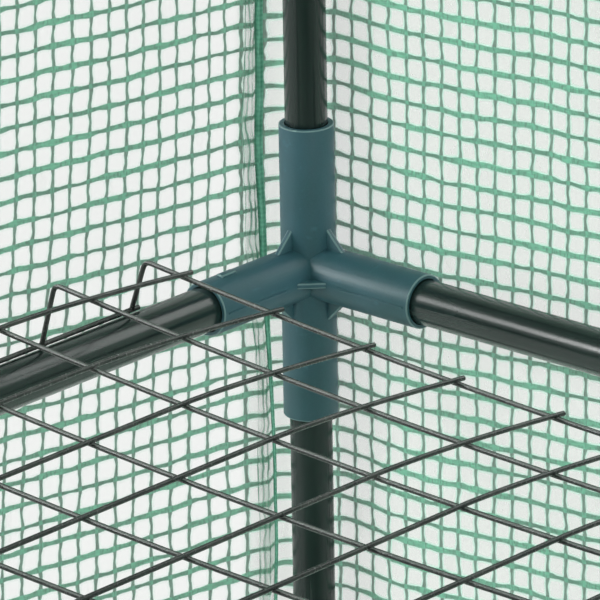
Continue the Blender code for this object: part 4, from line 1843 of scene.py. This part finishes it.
@dataclass
class ZipPair:
    """The two zips: tapes, coils on both sides, and the metal of their sliders."""

    cover: Cover
    thick: float = 0.0010
    pitch: float = 0.0030
    tooth: float = 0.0034
    tooth_radius: float = 0.00055
    head_radius: float = 0.00075
    tooth_lean: float = 0.18
    low_gap: float = 0.004
    top_gap: float = 0.0050
    tape_gap: float = 0.0040
    outer_line: float = 0.0085
    inner_line: float = 0.0025
    tape_from: float = -0.0062
    tape_to: float = 0.0022

    def coil(self, name: str, x: float, y: float, toward: int, body: Body, low: float, high: float) -> None:
        """Sew one half of a zip's coil along a line.

        Args:
            name: name of the piece.
            x: where the line stands across.
            y: face that the coil is sewn to.
            toward: side on which its heads stand, -1 or 1.
            body: rigid body that it rides on.
            low: height of its lowest tooth.
            high: height of its highest tooth.
        """
        piece = Piece(name)
        count = int((high - low) / self.pitch)
        for index in range(count):
            z = low + index * self.pitch
            start = Vector((x, y - 0.0005, z))
            end = Vector((x + toward * self.tooth, y - 0.0006, z + self.pitch * self.tooth_lean))
            piece.rod(start, end, self.tooth_radius, 5, self.head_radius)
        piece.finish(body, Slot.TAPE, Finishes.COIL)

    def door_tape(self, name: str, side: int, face: float, low: float, high: float) -> None:
        """Sew the inner half of a zip's tape on the door, beside its coil.

        Args:
            name: name of the piece.
            side: side of the door, -1 or 1.
            face: the tape's outer face.
            low: height of its lower end.
            high: height of its upper end.
        """
        cover = self.cover
        edge, coil = side * (cover.zip_x + self.tape_from), side * (cover.zip_x + self.tape_to)
        piece = Piece(name)

        def place(across: float, up: float) -> Vector:
            """Give a point of the tape, which lies on the door at its edge and on the coil's base.

            Args:
                across: share of its width.
                up: share of its height.

            Returns:
                The point.
            """
            off = 0.0001 + 0.0003 * math.sin(math.pi * across)
            depth = face + self.thick * (1 - across) - off
            return Vector((edge + (coil - edge) * across, depth, low + (high - low) * up))

        piece.grid(6, 60, place, lambda across, up: (across * abs(coil - edge), up * (high - low)))
        piece.finish(Body.DOOR, Slot.TAPE, Finishes.TAPE)

    def build(self) -> None:
        """Dress both zips."""
        cover = self.cover
        plan = cover.layout
        face = plan.middle_y - cover.wall_y - cover.sheet - FIT_GAP - self.thick
        top = cover.door_top - self.top_gap
        low = cover.hem + self.low_gap
        for name, side in WIDTH_SIDES:
            for part, look in (("tape", Finishes.TAPE), ("slider", Finishes.METAL), ("pull", Finishes.METAL)):
                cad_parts[f"zip_{part}_{name}"].material_slots[0].material = look.build()
            outer = side * (cover.zip_x + self.outer_line)
            inner = side * (cover.zip_x + self.inner_line)
            self.coil(f"zip_coil_outer_{name}", outer, face, -side, Body.FRAME, low, top)
            self.coil(f"zip_coil_inner_{name}", inner, face, side, Body.DOOR, low + self.pitch / 2, top)
            self.door_tape(f"zip_tape_inner_{name}", side, face, cover.hem, cover.door_top - self.tape_gap)


# Studio


@dataclass(frozen=True)
class Lamp:
    """One soft lamp of the studio."""

    name: str
    place: tuple[float, float, float]
    size: float
    watts: float


@dataclass
class Studio:
    """Pale floor, white surroundings, soft lamps and the camera.

    The camera sees nothing nearer than its near distance, so it looks past the cover's near side.
    """

    target: tuple[float, float, float] = (0.0, 0.0, 0.45)
    camera_place: tuple[float, float, float] = (1.45853, -1.71327, 1.39687)
    azimuth: float = 42.2152
    elevation: float = 20.0389
    roll: float = -1.0092
    lens: float = 478.42
    near: float = 2.32
    # middle of the floor's painted dark patch, which only reflections see
    reflected_dark_patch: tuple[float, float, float] = (1.15, -1.2, 0.0)
    floor_size: float = 12.0
    floor_glow: float = 0.72
    lamps: tuple[Lamp, ...] = (
        Lamp("key", (-1.97, -1.57, 1.66), 1.0, 50.0),
        Lamp("fill", (2.0, -0.9, 1.6), 1.6, 38.0),
        Lamp("back", (0.3, 2.2, 2.0), 1.8, 36.0),
    )

    def build_camera(self) -> None:
        """Set up the camera that sees the photographed corner."""
        data = bpy.data.cameras.new("camera")
        data.sensor_width = 36.0
        data.lens = self.lens
        data.clip_start = self.near
        data.clip_end = 60.0
        camera = link("camera", data)
        azimuth, elevation = math.radians(self.azimuth), math.radians(self.elevation)
        flat = math.cos(elevation)
        back = Vector((math.sin(azimuth) * flat, -math.cos(azimuth) * flat, math.sin(elevation)))
        level = (-back).to_track_quat("-Z", "Y").to_matrix()
        turned = level @ Matrix.Rotation(math.radians(self.roll), 3, "Z")
        camera.rotation_mode = "QUATERNION"
        camera.rotation_quaternion = turned.to_quaternion()
        camera.location = self.camera_place
        bpy.context.scene.camera = camera

    def build_lamps(self) -> None:
        """Hang the lamps, each turned to the middle of the greenhouse."""
        for lamp in self.lamps:
            light = bpy.data.lights.new(lamp.name, "AREA")
            light.shape = "DISK"
            light.size = lamp.size
            light.energy = lamp.watts
            holder = link(lamp.name, light)
            holder.location = lamp.place
            aim = Vector(self.target) - Vector(lamp.place)
            holder.rotation_mode = "QUATERNION"
            holder.rotation_quaternion = aim.to_track_quat("-Z", "Y")

    def build_world(self) -> None:
        """Light the scene with pale surroundings that the camera sees as white."""
        world = bpy.data.worlds.new("surroundings")
        world.use_nodes = True
        bpy.context.scene.world = world
        tree = world.node_tree
        path = tree.nodes.new("ShaderNodeLightPath")
        seen = Signal(tree, path.outputs["Is Camera Ray"])
        seen = seen.higher(Signal(tree, path.outputs["Is Transmission Ray"]))
        glossy = Signal(tree, path.outputs["Is Glossy Ray"])
        compass = tree.nodes.new("ShaderNodeSeparateXYZ")
        tree.links.new(tree.nodes.new("ShaderNodeTexCoord").outputs["Generated"], compass.inputs[0])
        rise = Signal(tree, compass.outputs[2])
        facing = (Signal(tree, compass.outputs[0]) + Signal(tree, compass.outputs[1])) * -0.7071
        box = rise.step(0.22, 0.25) * rise.step(0.45, 0.41) * facing.step(0.64, 0.76)
        band = 0.85 + box * 6.8 - rise.step(0.45, 0.55) * 0.6
        sky = 1.0 - rise.step(0.35, 0.80) * 0.62
        strength = sky + seen * (1.0 - sky) + glossy * (band - sky)
        background = tree.nodes["Background"]
        background.inputs["Color"].default_value = (1.0, 1.0, 1.0, 1.0)
        feed(tree, background.inputs["Strength"], strength)

    def build_floor(self) -> None:
        """Lay the floor, white to the camera except under the object's shadow, with a painted dark patch that
        only reflections see.
        """
        piece = Piece("floor")
        bmesh.ops.create_grid(piece.shape, x_segments=1, y_segments=1, size=self.floor_size)
        mesh = piece.mesh()
        surface = Surface("pale_floor")
        tree = surface.tree
        path = tree.nodes.new("ShaderNodeLightPath")
        spot = surface.place()
        away = surface.node("VectorMath", "Value", {"operation": "DISTANCE"}, _0=spot, _1=self.reflected_dark_patch)
        # Painted reflection: glossy rays see the floor dark round reflected_dark_patch, so the tubes reflect
        # a dark patch there.
        dark = Signal(tree, path.outputs["Is Glossy Ray"]) * away.step(1.7, 0.9)
        tint = surface.mix(dark, (0.80, 0.80, 0.79), (0.10, 0.11, 0.11))
        surface.dress(Base_Color=tint, Roughness=0.9, Specular_IOR_Level=0.1)
        glow = tree.nodes.new("ShaderNodeEmission")
        blend = tree.nodes.new("ShaderNodeMixShader")
        share = Signal(tree, path.outputs["Is Camera Ray"]) * self.floor_glow
        feed(tree, blend.inputs[0], share)
        tree.links.new(surface.shader.outputs[0], blend.inputs[1])
        tree.links.new(glow.outputs[0], blend.inputs[2])
        tree.links.new(blend.outputs[0], tree.nodes["Material Output"].inputs["Surface"])
        mesh.materials.append(surface.material)
        link("floor", mesh)

    def build(self) -> None:
        """Set up the studio."""
        self.build_world()
        self.build_floor()
        self.build_lamps()
        self.build_camera()
        bpy.context.scene.view_settings.view_transform = "Standard"


def main() -> None:
    """Build every sub-assembly, then the studio."""
    logging.basicConfig(level=logging.INFO, format="%(name)s: %(message)s")
    layout = Layout()
    cover = Cover(layout)
    frame_parts = (TubeSet(layout), ConnectorSet(layout), FootSet(layout), WireShelf(layout))
    for part in (*frame_parts, cover, ZipPair(cover)):
        log.info("building %s", type(part).__name__)
        part.build()
    Studio().build()


if __name__ == "__main__":
    main()
